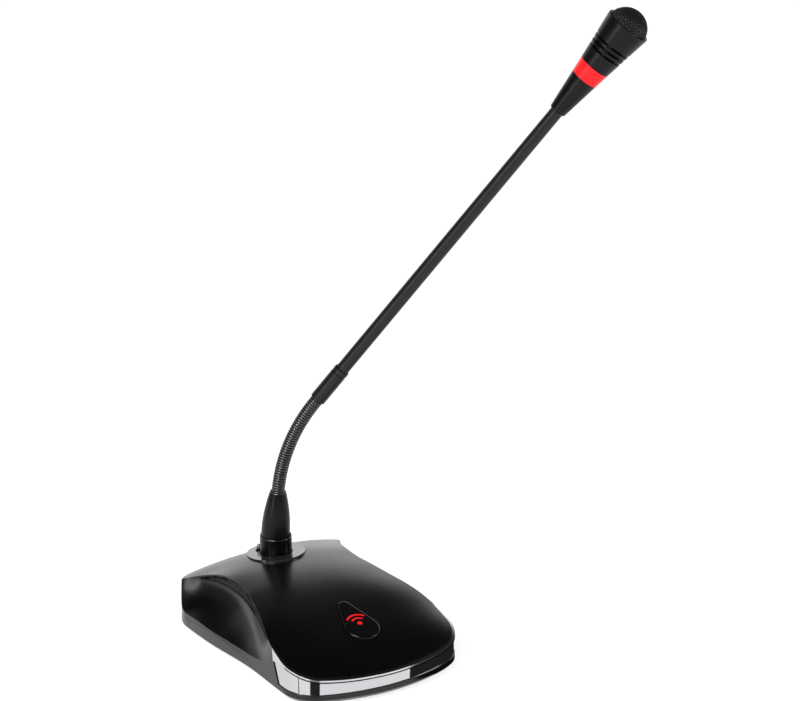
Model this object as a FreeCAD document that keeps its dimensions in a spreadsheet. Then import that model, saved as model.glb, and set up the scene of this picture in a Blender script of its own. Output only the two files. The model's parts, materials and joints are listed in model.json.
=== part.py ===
"""Gooseneck conference microphone: base with talk button, plug-in flexible stem and lit head.

Millimetres. The origin is on the desk under the middle of the base, +Z is up, +Y is the rear
and -Y the front, where the talk button is. The stem rises from a collar near the rear and leans
to the right and the front.
"""
import FreeCAD, Part
import math
import os
import Sketcher
from FreeCAD import Placement, Rotation, Vector

doc = FreeCAD.newDocument("Microphone")
NODES = []

# ---------------------------------------------------------------- driving dimensions
SIZES = (
    # base casing
    ("base_length", 169.0, "rear face to front face"),
    ("base_half_width", 64.0, "widest place, beside the collar"),
    ("base_waist", 4.0, "how much narrower each side is from the middle to the front"),
    ("base_height", 44.3, "desk to the top of the crown"),
    ("front_bow_radius", 120.0, "curve of the front edge in plan"),
    ("front_corner_radius", 24.0, ""),
    ("rear_corner_radius", 24.0, ""),
    ("edge_round", 2.4, "how far the tray's lower edge is drawn in"),
    ("wall", 2.2, "casing wall"),
    ("seam_rear", 8.0, "height of the casing seam at the rear"),
    ("seam_peak", 13.0, "height of the seam where the tray shows most"),
    ("seam_front", 5.6, ""),
    ("tray_floor", 2.0, ""),
    ("foot_lift", 2.6, "gap between the tray and the desk"),
    ("fit_gap", 0.15, "gap between casing pieces that are seated in each other"),
    # front trim
    ("trim_depth", 1.7, "recess that the gloss band and the bright line sit in"),
    ("trim_step", 0.6, "how far the gloss band stands back from the lip"),
    ("trim_bottom", 8.3, "height of the band's lower edge"),
    ("trim_start", 101.0, "distance of the band's ends from the collar axis"),
    ("strip_width", 1.1, "bright line along the band's top"),
    # perforated bands
    ("grille_drop", 7.0, "height of each band"),
    ("grille_depth", 1.0, ""),
    # collar, socket and latch
    ("collar_setback", 27.5, "rear face to the collar axis"),
    ("collar_diameter", 37.5, ""),
    ("collar_thickness", 3.0, ""),
    ("collar_tilt", 7.0, "backward tilt of the disc, degrees"),
    ("barrel_diameter", 20.4, ""),
    ("barrel_gap", 0.6, "between the barrel and the hole in the disc"),
    ("barrel_top", 11.5, "top of the barrel above the disc"),
    ("spigot_diameter", 18.4, "part of the plug inside the socket"),
    ("spigot_length", 17.0, ""),
    ("socket_gap", 0.3, "between the spigot and the socket wall"),
    ("socket_wall", 2.0, ""),
    ("socket_flange", 33.0, "diameter of the socket's flange"),
    ("socket_flange_thickness", 2.4, ""),
    ("socket_drop", 6.6, "disc top to the socket's flange"),
    ("latch_width", 4.0, ""),
    ("latch_thickness", 1.6, ""),
    ("latch_angle", 125.0, "place of the latch round the barrel, degrees from +X"),
    ("latch_rise", 5.0, "height of the latch above the disc"),
    ("latch_travel", 2.0, ""),
    # talk button
    ("button_distance", 100.0, "collar axis to the button's reference point"),
    ("button_big_radius", 11.7, "round end of the opening"),
    ("button_small_radius", 4.7, "narrow end of the opening"),
    ("button_span", 22.2, "between the two round centres"),
    ("button_offset", 5.7, "reference point to the big round centre"),
    ("button_gap", 0.45, "between the cap and the edge of the opening"),
    ("button_rise", 0.8, "cap above the casing"),
    ("button_sag", 1.3, "how far the casing falls away at the ends of the button"),
    ("button_bevel", 1.5, ""),
    ("button_flange", 0.8, "flange of the cap beyond the opening"),
    ("button_flange_thickness", 0.9, ""),
    ("button_travel", 0.9, ""),
    ("guide_wall", 1.5, ""),
    ("guide_depth", 4.0, ""),
    ("symbol_depth", 0.6, "inlaid red symbol"),
    ("symbol_dot", 1.6, "radius"),
    ("symbol_line", 1.2, "width of the symbol's arcs"),
    ("symbol_pitch", 3.2, "between the arcs"),
    ("plunger_diameter", 3.2, ""),
    ("switch_width", 6.0, ""),
    ("switch_height", 3.6, ""),
    ("switch_depth", 11.5, "casing surface to the switch board"),
    # inside the base
    ("ballast_thickness", 5.0, ""),
    ("ballast_inset", 9.0, "casing side to the edge of the steel plate"),
    ("board_height", 15.0, "desk to the underside of the main board"),
    ("board_thickness", 1.6, ""),
    ("board_width", 50.0, ""),
    ("board_length", 58.0, ""),
    ("board_distance", 58.0, "collar axis to the middle of the board"),
    ("standoff_diameter", 5.0, ""),
    ("speaker_diameter", 20.0, ""),
    ("speaker_depth", 8.0, ""),
    ("speaker_distance", 40.0, "collar axis to the speakers"),
    ("speaker_room", 5.0, "upper edge of the cover to the face of the speaker"),
    ("bracket_thickness", 1.6, ""),
    ("outlet_diameter", 15.0, "outside of the round outlet"),
    ("outlet_bore", 6.4, "hole for the cable"),
    ("outlet_depth", 9.0, ""),
    ("outlet_height", 19.5, "desk to the outlet axis"),
    ("outlet_flange", 19.0, ""),
    ("foot_diameter", 13.0, ""),
    ("foot_thickness", 3.0, ""),
    ("boss_split", 15.0, "height where the tray's posts meet the cover's bosses"),
    ("screw_diameter", 3.0, ""),
    ("screw_head", 5.6, "diameter"),
    ("screw_head_height", 2.0, ""),
    ("screw_length", 16.0, ""),
    ("boss_diameter", 8.0, ""),
    # stem
    ("boot_pivot", 15.2, "height above the disc where the boot starts to lean"),
    ("boot_length", 24.2, "pivot to the foot of the flexible section"),
    ("boot_lip", 2.1, "how far the boot reaches up round the flexible section"),
    ("boot_sunk", 4.4, "pivot to the foot of the boot inside the barrel"),
    ("boot_foot_diameter", 18.2, ""),
    ("boot_tip_diameter", 10.8, ""),
    ("boot_lean", 4.0, "degrees"),
    ("stem_heading", -34.4, "direction of the lean in plan, degrees from +X"),
    ("stem_lean", 37.7, "lean of the rigid tube, degrees"),
    ("flex_length", 68.7, ""),
    ("flex_diameter", 8.6, ""),
    ("flex_bore", 3.0, "hole for the wires"),
    ("ball_radius", 3.4, "balls of the flexible section"),
    ("bead_gap", 0.3, "ball to socket in the flexible section"),
    ("bead_slit", 1.6, "axial gap between beads"),
    ("flex_root", 8.0, "length held in the boot"),
    ("flex_tail", 7.4, "straight length beyond the hinged part"),
    ("ferrule_start", 2.4, "end of the hinged part of the flexible section to the ferrule"),
    ("ferrule_length", 26.0, ""),
    ("ferrule_diameter", 10.0, ""),
    ("tube_diameter", 8.4, ""),
    ("tube_bore", 6.4, ""),
    ("cable_diameter", 4.2, "wires inside the tube"),
    # head, lengths measured along the stem
    ("head_start", 243.1, "top of the flexible section to the head's foot"),
    ("lower_cone_length", 26.3, ""),
    ("ring_length", 9.8, ""),
    ("upper_cone_length", 32.2, ""),
    ("head_foot_diameter", 10.8, ""),
    ("ring_foot_diameter", 17.4, ""),
    ("ring_top_diameter", 19.9, ""),
    ("rim_diameter", 28.9, ""),
    ("dome_diameter", 26.0, ""),
    ("dome_height", 11.6, ""),
    ("head_wall", 1.3, ""),
    ("groove_pitch", 3.4, ""),
    ("groove_width", 1.6, ""),
    ("groove_depth", 0.8, ""),
    ("capsule_diameter", 14.0, ""),
    ("capsule_length", 9.0, ""),
)
LINKS = 8                      # hinges in the flexible section


class Dim(float):
    """A number that also carries the spreadsheet expression it comes from."""

    def __new__(cls, value, text):
        number = float.__new__(cls, value)
        number.text = text
        return number

    def _joined(self, other, sign, value, swapped=False):
        mine = self.text
        theirs = other.text if isinstance(other, Dim) else repr(float(other))
        first, second = (theirs, mine) if swapped else (mine, theirs)
        return Dim(value, "(%s %s %s)" % (first, sign, second))

    def __add__(self, other):
        return self._joined(other, "+", float(self) + float(other))

    def __radd__(self, other):
        return self._joined(other, "+", float(other) + float(self), True)

    def __sub__(self, other):
        return self._joined(other, "-", float(self) - float(other))

    def __rsub__(self, other):
        return self._joined(other, "-", float(other) - float(self), True)

    def __mul__(self, other):
        return self._joined(other, "*", float(self) * float(other))

    def __rmul__(self, other):
        return self._joined(other, "*", float(other) * float(self), True)

    def __truediv__(self, other):
        return self._joined(other, "/", float(self) / float(other))

    def __neg__(self):
        return Dim(-float(self), "(0 - %s)" % self.text)


class Sizes:
    """The spreadsheet's values by name."""


def fill_sheet():
    """Write the driving dimensions into a spreadsheet, one alias to a row."""
    sheet = doc.addObject("Spreadsheet::Sheet", "Sizes")
    sizes = Sizes()
    for row, (name, value, note) in enumerate(SIZES, start=1):
        sheet.set("A%d" % row, name)
        sheet.set("B%d" % row, repr(value))
        sheet.set("C%d" % row, note)
        sheet.setAlias("B%d" % row, name)
        setattr(sizes, name, Dim(value, "Sizes." + name))
    doc.recompute()
    return sizes


d = fill_sheet()


# ---------------------------------------------------------------- building helpers
def bind(thing, name, value):
    """Set a property, by expression where the value comes from the spreadsheet."""
    if isinstance(value, Dim):
        thing.setExpression(name, value.text)
    else:
        owner = thing
        parts = name.split(".")
        for part in parts[:-1]:
            owner = getattr(owner, part)
        setattr(owner, parts[-1], value)


def place(thing, at, turn=None):
    """Put an object at a point; upright objects keep the point bound to the spreadsheet."""
    thing.Placement = Placement(Vector(*at), turn or Rotation())
    for letter, value in zip("xyz", at):
        if isinstance(value, Dim):
            thing.setExpression("Placement.Base." + letter, value.text)
    return thing


def cylinder(name, radius, height, at=(0, 0, 0), turn=None):
    thing = doc.addObject("Part::Cylinder", name)
    bind(thing, "Radius", radius)
    bind(thing, "Height", height)
    return place(thing, at, turn)


def box(name, length, width, height, at=(0, 0, 0), turn=None):
    """A box centred on the point in X and Y and standing on it in Z."""
    thing = doc.addObject("Part::Box", name)
    bind(thing, "Length", length)
    bind(thing, "Width", width)
    bind(thing, "Height", height)
    turn = turn or Rotation()
    shift = turn.multVec(Vector(-length / 2, -width / 2, 0))
    thing.Placement = Placement(Vector(*at) + shift, turn)
    return thing


def cut(name, base, *tools):
    """The base less the tools."""
    thing = doc.addObject("Part::Cut", name)
    thing.Base = base
    thing.Tool = tools[0] if len(tools) == 1 else group(name + "_tools", tools)
    return thing


def fuse(name, *pieces):
    thing = doc.addObject("Part::MultiFuse", name)
    thing.Shapes = list(pieces)
    return thing


def common(name, *pieces):
    thing = doc.addObject("Part::MultiCommon", name)
    thing.Shapes = list(pieces)
    return thing


def group(name, pieces):
    thing = doc.addObject("Part::Compound", name)
    thing.Links = list(pieces)
    return thing


def formed(name, shape, placement=None):
    """A shape made by Part's own functions."""
    thing = doc.addObject("Part::Feature", name)
    thing.Shape = shape
    if placement:
        thing.Placement = placement
    return thing


def node(thing, label):
    """Register an object as a sub-part that is exported under its label."""
    thing.Label = label
    NODES.append(thing)
    return thing


def turned(name, outline, placement=None):
    """A body of revolution about its own Z axis from a closed outline of (radius, height)."""
    body = doc.addObject("PartDesign::Body", name)
    plane = [f for f in body.Origin.OriginFeatures if f.Role == "XZ_Plane"][0]
    sketch = body.newObject("Sketcher::SketchObject", name + "_outline")
    sketch.AttachmentSupport = (plane, [""])
    sketch.MapMode = "FlatFace"
    count = len(outline)
    for index in range(count):
        start = Vector(*outline[index], 0)
        end = Vector(*outline[(index + 1) % count], 0)
        sketch.addGeometry(Part.LineSegment(start, end), False)
    for index in range(count):
        sketch.addConstraint(Sketcher.Constraint("Coincident", index, 2, (index + 1) % count, 1))
    for index, (radius, height) in enumerate(outline):
        pin_corner(sketch, index, "DistanceX", -2, radius)
        pin_corner(sketch, index, "DistanceY", -1, height)
    turn = body.newObject("PartDesign::Revolution", name + "_turn")
    turn.Profile = sketch
    turn.ReferenceAxis = (sketch, ["V_Axis"])
    turn.Angle = 360
    if placement:
        body.Placement = placement
    return body


def pin_corner(sketch, index, kind, axis, value):
    """Tie one coordinate of a sketch corner to its value, or to the axis when it is zero."""
    if abs(value) < 1e-9:
        sketch.addConstraint(Sketcher.Constraint("PointOnObject", index, 1, axis))
        return
    number = sketch.addConstraint(Sketcher.Constraint(kind, -1, 1, index, 1, float(value)))
    if isinstance(value, Dim):
        sketch.setExpression("Constraints[%d]" % number, value.text)


# ---------------------------------------------------------------- casing surfaces
REAR_Y = d.base_length / 2
FRONT_Y = -d.base_length / 2
COLLAR_Y = REAR_Y - d.collar_setback
BELOW = -10.0                  # how far construction solids reach under the desk
ABOVE = 60.0

# Cross-sections of the top cover from rear to front: place along the base from the collar axis,
# half width and height of the crisp upper edge, height of the crown, how bulged the crown is,
# half width and height of the foot of the side, and how hollow the side is.
STATIONS = (
    (42.0, 58.5, 16.0, 19.5, 2.4, 64.0, 9.0, 0.0),
    (27.0, 59.0, 27.0, 33.0, 2.4, 64.5, 11.0, 0.0),
    (16.5, 57.0, 31.8, 39.2, 2.2, 65.0, 12.0, 0.05),
    (8.0, 50.3, 35.4, 42.0, 2.0, 65.5, 13.0, 0.45),
    (-2.0, 45.9, 38.9, 43.4, 2.0, 66.0, 13.5, 0.85),
    (-12.0, 43.4, 41.0, 43.9, 2.2, 66.0, 13.8, 1.0),
    (-26.0, 42.2, 41.5, 44.3, 2.3, 64.5, 13.6, 1.0),
    (-42.0, 44.2, 40.9, 44.1, 2.3, 63.5, 13.0, 1.0),
    (-58.0, 48.1, 39.0, 42.8, 2.5, 62.5, 12.0, 1.0),
    (-74.0, 53.0, 36.2, 40.2, 3.0, 62.5, 11.0, 0.9),
    (-88.0, 57.2, 32.0, 37.0, 3.6, 62.5, 10.0, 0.5),
    (-101.0, 59.4, 27.6, 33.5, 3.6, 62.5, 9.5, 0.15),
    (-118.0, 60.4, 22.2, 28.2, 3.4, 62.5, 9.0, 0.0),
    (-134.0, 60.6, 13.5, 21.3, 2.4, 62.5, 6.0, 0.0),
    (-150.0, 61.0, 3.0, 11.5, 2.2, 62.5, 0.0, 0.0),
)
STATION_LENGTH = 169.0         # the base size that the stations are drawn for
STATION_HALF_WIDTH = 64.0
STATION_HEIGHT = 44.3
CROWN_STEPS = 8
SIDE_STEPS = 4


def along(distance):
    """Place on Y of a distance from the collar axis, drawn for the nominal length."""
    return float(COLLAR_Y) + distance * float(d.base_length) / STATION_LENGTH


def crown_section(station, inset):
    """One closed cross-section of the cover, drawn in from its surface by the inset."""
    distance, edge_x, edge_z, crown_z, bulge, foot_x, foot_z, hollow = station
    wide = float(d.base_half_width) / STATION_HALF_WIDTH
    tall = float(d.base_height) / STATION_HEIGHT
    y = along(distance)
    edge_x = edge_x * wide - inset
    foot_x = foot_x * wide - inset
    edge_z = edge_z * tall - inset
    crown_z = crown_z * tall - inset
    foot_z = foot_z * tall - inset
    top = []
    for step in range(-CROWN_STEPS, CROWN_STEPS + 1):
        share = math.sin(step / CROWN_STEPS * math.pi / 2)
        drop = (crown_z - edge_z) * abs(share) ** bulge
        top.append(Vector(edge_x * share, y, crown_z - drop))
    side = []
    for step in range(SIDE_STEPS + 1):
        share = step / SIDE_STEPS
        x = edge_x + (foot_x - edge_x) * share ** (1 + 1.3 * hollow)
        z = edge_z - (edge_z - foot_z) * share ** (1 - 0.25 * hollow)
        side.append(Vector(x, y, z))
    mirrored = [Vector(-p.x, p.y, p.z) for p in side]
    right_foot = Vector(foot_x, y, BELOW)
    left_foot = Vector(-foot_x, y, BELOW)
    edges = [
        spline(top),
        spline(side),
        Part.makeLine(side[-1], right_foot),
        Part.makeLine(right_foot, left_foot),
        Part.makeLine(left_foot, mirrored[-1]),
        spline(mirrored[::-1]),
    ]
    return Part.Wire(edges)


def spline(points):
    curve = Part.BSplineCurve()
    curve.interpolate(points)
    return curve.toShape()


def crown_block(inset):
    """Solid under the cover's top surface and between its hollow sides."""
    return Part.makeLoft([crown_section(s, inset) for s in STATIONS], True, False)


def plan_wire(height, inset):
    """Outline of the base in plan at a height, drawn in by the inset."""
    front = float(FRONT_Y) + inset
    rear = float(REAR_Y) - inset
    wide = float(d.base_half_width) - inset
    narrow = wide - float(d.base_waist)
    bow = float(d.front_bow_radius) - inset
    corner = float(d.front_corner_radius) - inset
    rear_corner = float(d.rear_corner_radius) - inset
    bow_centre = front + bow
    corner_x = narrow - corner
    corner_y = bow_centre - math.sqrt((bow - corner) ** 2 - corner_x ** 2)
    reach = bow / (bow - corner)
    joint_x = corner_x * reach
    joint_y = bow_centre + (corner_y - bow_centre) * reach
    half = math.sqrt(0.5)

    def point(x, y):
        return Vector(x, y, height)

    turn = (math.atan2(joint_y - corner_y, joint_x - corner_x)) / 2
    front_mid = (corner_x + corner * math.cos(turn), corner_y + corner * math.sin(turn))
    rear_mid = (wide - rear_corner * (1 - half), rear - rear_corner * (1 - half))
    side = [
        point(narrow, corner_y),
        point(narrow, along(-58.0)),
        point(narrow + float(d.base_waist) * 0.75, along(-28.0)),
        point(wide, rear - rear_corner),
    ]

    def flipped(p):
        return Vector(-p.x, p.y, p.z)

    def arc(a, b, c):
        return Part.Arc(a, b, c).toShape()

    right_side = Part.BSplineCurve()
    right_side.interpolate(Points=side, InitialTangent=Vector(0, 1, 0),
                           FinalTangent=Vector(0, 1, 0))
    left_side = Part.BSplineCurve()
    left_side.interpolate(Points=[flipped(p) for p in side[::-1]],
                          InitialTangent=Vector(0, -1, 0), FinalTangent=Vector(0, -1, 0))
    joint = point(joint_x, joint_y)
    rear_start = point(wide - rear_corner, rear)
    edges = [
        arc(flipped(joint), point(0, front), joint),
        arc(joint, point(*front_mid), side[0]),
        right_side.toShape(),
        arc(side[-1], point(*rear_mid), rear_start),
        Part.makeLine(rear_start, flipped(rear_start)),
        arc(flipped(rear_start), flipped(point(*rear_mid)), flipped(side[-1])),
        left_side.toShape(),
        arc(flipped(side[0]), flipped(point(*front_mid)), flipped(joint)),
    ]
    return Part.Wire(edges)


def plan_block(inset):
    """Upright block of the base's plan outline, drawn in towards its lower edge."""
    drawn_in = inset + float(d.edge_round)
    low = float(d.foot_lift)
    rounded = low + float(d.edge_round)
    levels = ((BELOW, drawn_in), (low, drawn_in), (rounded, inset), (ABOVE, inset))
    return Part.makeLoft([plan_wire(height, drawn) for height, drawn in levels], True, True)


def seam_block(lift=0.0):
    """Everything under the seam between the cover and the tray."""
    points = [
        Vector(0, along(45.0), float(d.seam_rear) - 1.0 + lift),
        Vector(0, along(16.0), float(d.seam_rear) + 0.6 + lift),
        Vector(0, along(-28.0), float(d.seam_peak) + lift),
        Vector(0, along(-80.0), float(d.seam_front) + 1.0 + lift),
        Vector(0, along(-112.0), float(d.seam_front) + lift),
        Vector(0, along(-175.0), float(d.seam_front) + lift),
    ]
    low_front = Vector(0, points[-1].y, BELOW)
    low_rear = Vector(0, points[0].y, BELOW)
    outline = Part.Wire([
        spline(points),
        Part.makeLine(points[-1], low_front),
        Part.makeLine(low_front, low_rear),
        Part.makeLine(low_rear, points[0]),
    ])
    reach = float(d.base_half_width) + 20
    face = Part.Face(outline)
    face.translate(Vector(-reach, 0, 0))
    return face.extrude(Vector(2 * reach, 0, 0))


def top_of(solid, x, y):
    """Height of a solid's top surface over a point."""
    line = Part.makeLine(Vector(x, y, BELOW), Vector(x, y, 2 * ABOVE))
    return max(v.Point.z for v in solid.common(line).Vertexes)


# ---------------------------------------------------------------- casing pieces
crown_outer = formed("CrownOuter", crown_block(0.0))
crown_inner = formed("CrownInner", crown_block(float(d.wall)))
plan_outer = formed("PlanOuter", plan_block(0.0))
plan_inner = formed("PlanInner", plan_block(float(d.wall)))
under_seam = formed("UnderSeam", seam_block())
casing_outer = common("CasingOuter", crown_outer, plan_outer)
cavity = common("Cavity", crown_inner, plan_inner)
OUTER = crown_block(0.0)

SCREW_PLACES = (
    (d.base_half_width * 0.68, COLLAR_Y + 8.5),
    (d.base_half_width * 0.68, COLLAR_Y - 116),
)
FOOT_PLACES = (
    (d.base_half_width * 0.66, COLLAR_Y - 8),
    (d.base_half_width * 0.66, COLLAR_Y - 100),
)


def both_sides(places):
    """The places and their mirror images across the middle of the base."""
    return [(sign * x, y) for x, y in places for sign in (1, -1)]


def foot_places():
    """A foot near each corner and one in the middle, under the ballast."""
    return both_sides(FOOT_PLACES) + [(0, 0)]


def trim_region():
    """Block round the front of the base, with leaning rear ends, that the gloss band fills."""
    reach = float(d.base_half_width) + 10
    start = along(-float(d.trim_start))
    low = float(d.trim_bottom)
    high = float(d.base_height)
    outline = Part.makePolygon([
        Vector(-reach, start - 4, low),
        Vector(-reach, start + 12, high),
        Vector(-reach, start - 90, high),
        Vector(-reach, start - 90, low),
        Vector(-reach, start - 4, low),
    ])
    return Part.Face(outline).extrude(Vector(2 * reach, 0, 0))


def grille_region():
    """Crescent block, seen from the side, that follows the cover's upper edges."""
    drop = float(d.grille_drop)
    tall = float(d.base_height) / STATION_HEIGHT
    upper = [Vector(0, along(s[0]), s[2] * tall - 1.2) for s in STATIONS[3:11]]
    span = len(upper) - 1
    lower = []
    for index, point in enumerate(upper):
        share = math.sin(math.pi * (0.06 + 0.9 * index / span))
        lower.append(Vector(0, point.y, point.z - drop * share))
    outline = Part.Wire([
        spline(upper),
        Part.makeLine(upper[-1], lower[-1]),
        spline(lower[::-1]),
        Part.makeLine(lower[0], upper[0]),
    ])
    reach = float(d.base_half_width) + 10
    face = Part.Face(outline)
    face.translate(Vector(-reach, 0, 0))
    return face.extrude(Vector(2 * reach, 0, 0))


def make_trim():
    """Gloss band and bright line; returns the recess they fill."""
    depth = float(d.trim_depth)
    region = formed("TrimRegion", trim_region())
    behind = formed("TrimBehind", plan_block(depth))
    recess = cut("TrimRecess", common("TrimFront", casing_outer, region), behind)
    line_shape = crown_block(0.0)
    line_shape.translate(Vector(0, 0, -float(d.strip_width)))
    below_line = formed("BelowLine", line_shape)
    stepped_in = formed("TrimStep", plan_block(float(d.trim_step)))
    node(cut("StripBody", recess, below_line), "trim_strip")
    node(common("TrimBody", recess, below_line, stepped_in), "front_trim")
    return recess


def make_grilles():
    """Perforated bands let into both sides under the upper edges."""
    region = formed("GrilleRegion", grille_region())
    depth = float(d.grille_depth)
    behind = formed("GrilleBehind", crown_block(depth))
    recess = cut("GrilleRecess", common("GrilleFront", casing_outer, region), behind)
    reach = d.base_half_width + 10
    for side, sign in (("left", -1), ("right", 1)):
        half = box("GrilleHalf_" + side, reach, d.base_length * 2, ABOVE,
                   at=(sign * reach / 2, 0, 0))
        node(common("Grille_" + side, recess, half), "grille_" + side)
    return recess


# The collar disc leans back, so its frame is tilted about X.
COLLAR_Z = top_of(OUTER, 0, COLLAR_Y) + 0.1
COLLAR = Placement(Vector(0, COLLAR_Y, COLLAR_Z), Rotation(Vector(1, 0, 0), -d.collar_tilt))
FLANGE_Z = COLLAR_Z - d.socket_drop
HOLE_RADIUS = d.barrel_diameter / 2 + d.barrel_gap
LATCH_TURN = Rotation(Vector(0, 0, 1), d.latch_angle)
LATCH_RADIUS = HOLE_RADIUS + d.latch_thickness / 2 + 1.1


def polar(radius, angle, height):
    """Point round the collar axis."""
    turn = math.radians(angle)
    return (radius * math.cos(turn), COLLAR_Y + radius * math.sin(turn), height)


def collar_slot(name, gap):
    """Upright slot that the latch stands in."""
    return box(name, d.latch_thickness + 2 * gap, d.latch_width + 2 * gap, 30,
               at=polar(LATCH_RADIUS, d.latch_angle, COLLAR_Z - 15), turn=LATCH_TURN)


def make_collar():
    disc = cylinder("DiscBlank", d.collar_diameter / 2, d.collar_thickness)
    disc.Placement = COLLAR.multiply(Placement(Vector(0, 0, -d.collar_thickness), Rotation()))
    hole = cylinder("DiscHole", HOLE_RADIUS, 30, at=(0, COLLAR_Y, COLLAR_Z - 15))
    node(cut("CollarDisc", disc, hole, collar_slot("DiscSlot", 0.3)), "collar_disc")
    seat = cylinder("DiscSeat", d.collar_diameter / 2 + d.fit_gap, d.collar_thickness + 10)
    drop = Vector(0, 0, -d.collar_thickness - d.fit_gap)
    seat.Placement = COLLAR.multiply(Placement(drop, Rotation()))
    return seat, hole


def make_cover(trim_recess, grille_recess):
    """Top cover: crowned shell with bosses under it."""
    seat, hole = make_collar()
    shell = cut("CoverShell", casing_outer, cavity, under_seam)
    bosses = []
    for index, (x, y) in enumerate(both_sides(SCREW_PLACES)):
        bosses.append(cylinder("CoverBoss%d" % index, d.boss_diameter / 2, ABOVE,
                               at=(x, y, d.boss_split + d.fit_gap)))
    ring = cylinder("SocketBoss", d.socket_flange / 2, ABOVE, at=(0, COLLAR_Y, FLANGE_Z + 0.05))
    inside = common("CoverBosses", casing_outer, fuse("BossBlanks", ring, *bosses))
    body = fuse("CoverFused", shell, inside)
    pilots = []
    for index, (x, y) in enumerate(both_sides(SCREW_PLACES)):
        pilots.append(cylinder("Pilot%d" % index, d.screw_diameter / 2 + 0.05,
                               d.screw_length - 3, at=(x, y, 5)))
    for index, angle in enumerate(SOCKET_SCREW_ANGLES):
        pilots.append(cylinder("SocketPilot%d" % index, d.screw_diameter / 2 - 0.45, 6,
                               at=polar(d.socket_flange / 2 - 2.6, angle, FLANGE_Z - 4)))
    opening = teardrop_solid("ButtonOpening", 0.0, -12, 14)
    outlet = cylinder("OutletHole", d.outlet_diameter / 2 + d.fit_gap, 30,
                      at=(0, REAR_Y - 15, d.outlet_height), turn=Rotation(Vector(1, 0, 0), -90))
    slot = collar_slot("CoverSlot", 0.5)
    tools = [trim_recess, grille_recess, seat, hole, slot, opening, outlet] + pilots
    node(cut("TopCover", body, *tools), "top_cover")


def make_tray():
    """Bottom shell: a shallow tray with posts for the case screws."""
    low = seam_block(-float(d.fit_gap))
    rim = formed("TraySeam", low)
    slab = box("TraySlab", d.base_length * 2, d.base_length * 2, ABOVE, at=(0, 0, d.foot_lift))
    blank = common("TrayBlank", plan_outer, rim, slab)
    room = box("TrayRoom", d.base_length * 2, d.base_length * 2, ABOVE,
               at=(0, 0, d.foot_lift + d.tray_floor))
    hollow = common("TrayHollow", plan_inner, room)
    posts = []
    holes = []
    for index, (x, y) in enumerate(both_sides(SCREW_PLACES)):
        posts.append(cylinder("TrayPost%d" % index, d.boss_diameter / 2,
                              d.boss_split - d.foot_lift, at=(x, y, d.foot_lift)))
        holes.append(cylinder("TrayHole%d" % index, d.screw_diameter / 2 + 0.2, ABOVE,
                              at=(x, y, 0)))
        holes.append(cylinder("TraySink%d" % index, d.screw_head / 2 + 0.3,
                              d.screw_head_height + 1.5, at=(x, y, d.foot_lift - 0.5)))
    for index, (x, y) in enumerate(foot_places()):
        holes.append(cylinder("FootSeat%d" % index, d.foot_diameter / 2 + 0.1,
                              d.foot_thickness + 0.05, at=(x, y, 0)))
    shell = cut("TrayShell", blank, hollow)
    node(cut("BottomShell", fuse("TrayFused", shell, *posts), *holes), "bottom_shell")


def make_feet_and_screws():
    feet = []
    for index, (x, y) in enumerate(foot_places()):
        feet.append(cylinder("Foot%d" % index, d.foot_diameter / 2, d.foot_thickness,
                             at=(x, y, 0)))
    node(group("RubberFeet", feet), "rubber_feet")
    screws = []
    head_top = d.foot_lift - 0.5 + d.screw_head_height + 1.5
    for index, (x, y) in enumerate(both_sides(SCREW_PLACES)):
        head = cylinder("CaseScrewHead%d" % index, d.screw_head / 2, d.screw_head_height,
                        at=(x, y, head_top - d.screw_head_height))
        shank = cylinder("CaseScrewShank%d" % index, d.screw_diameter / 2,
                         d.screw_length - 4.5, at=(x, y, head_top - 0.5))
        drive = box("CaseScrewDrive%d" % index, d.screw_head * 0.7, 0.8, 1.0,
                    at=(x, y, head_top - d.screw_head_height - 0.1))
        screws.append(cut("CaseScrew%d" % index, fuse("CaseScrewBlank%d" % index, head, shank),
                          drive))
    node(group("CaseScrews", screws), "case_screws")


# ---------------------------------------------------------------- talk button
BUTTON_Y = along(-float(d.button_distance))
BUTTON_Z = top_of(OUTER, 0, BUTTON_Y)
BUTTON_SLOPE = math.degrees(math.atan2(
    top_of(OUTER, 0, BUTTON_Y + 14) - top_of(OUTER, 0, BUTTON_Y - 14), 28))
BUTTON = Placement(Vector(0, BUTTON_Y, BUTTON_Z), Rotation(Vector(1, 0, 0), BUTTON_SLOPE))


def teardrop_wire(offset):
    """Teardrop outline: two round ends joined by straight tangents, narrow end to the rear."""
    big = float(d.button_big_radius) + offset
    small = float(d.button_small_radius) + offset
    big_y = -float(d.button_offset)
    small_y = big_y + float(d.button_span)
    sine = (big - small) / float(d.button_span)
    cosine = math.sqrt(1 - sine * sine)
    right = (Vector(big * cosine, big_y + big * sine, 0),
             Vector(small * cosine, small_y + small * sine, 0))
    left = [Vector(-p.x, p.y, 0) for p in right]
    return Part.Wire([
        Part.Arc(left[0], Vector(0, big_y - big, 0), right[0]).toShape(),
        Part.makeLine(right[0], right[1]),
        Part.Arc(right[1], Vector(0, small_y + small, 0), left[1]).toShape(),
        Part.makeLine(left[1], left[0]),
    ])


def teardrop_solid(name, offset, low, height, bevel=0.0):
    """Teardrop block in the button's frame, from a depth upwards."""
    solid = Part.Face(teardrop_wire(offset)).extrude(Vector(0, 0, height))
    if bevel:
        rim = [e for e in solid.Edges if min(v.Point.z for v in e.Vertexes) > height - 1e-6]
        solid = solid.makeFillet(bevel, rim)
    return formed(name, solid, in_button((0, 0, low)))


def in_button(at, turn=None):
    """Placement at a point of the button's frame."""
    return BUTTON.multiply(Placement(Vector(*at), turn or Rotation()))


def seat(thing, placement):
    thing.Placement = placement
    return thing


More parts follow.
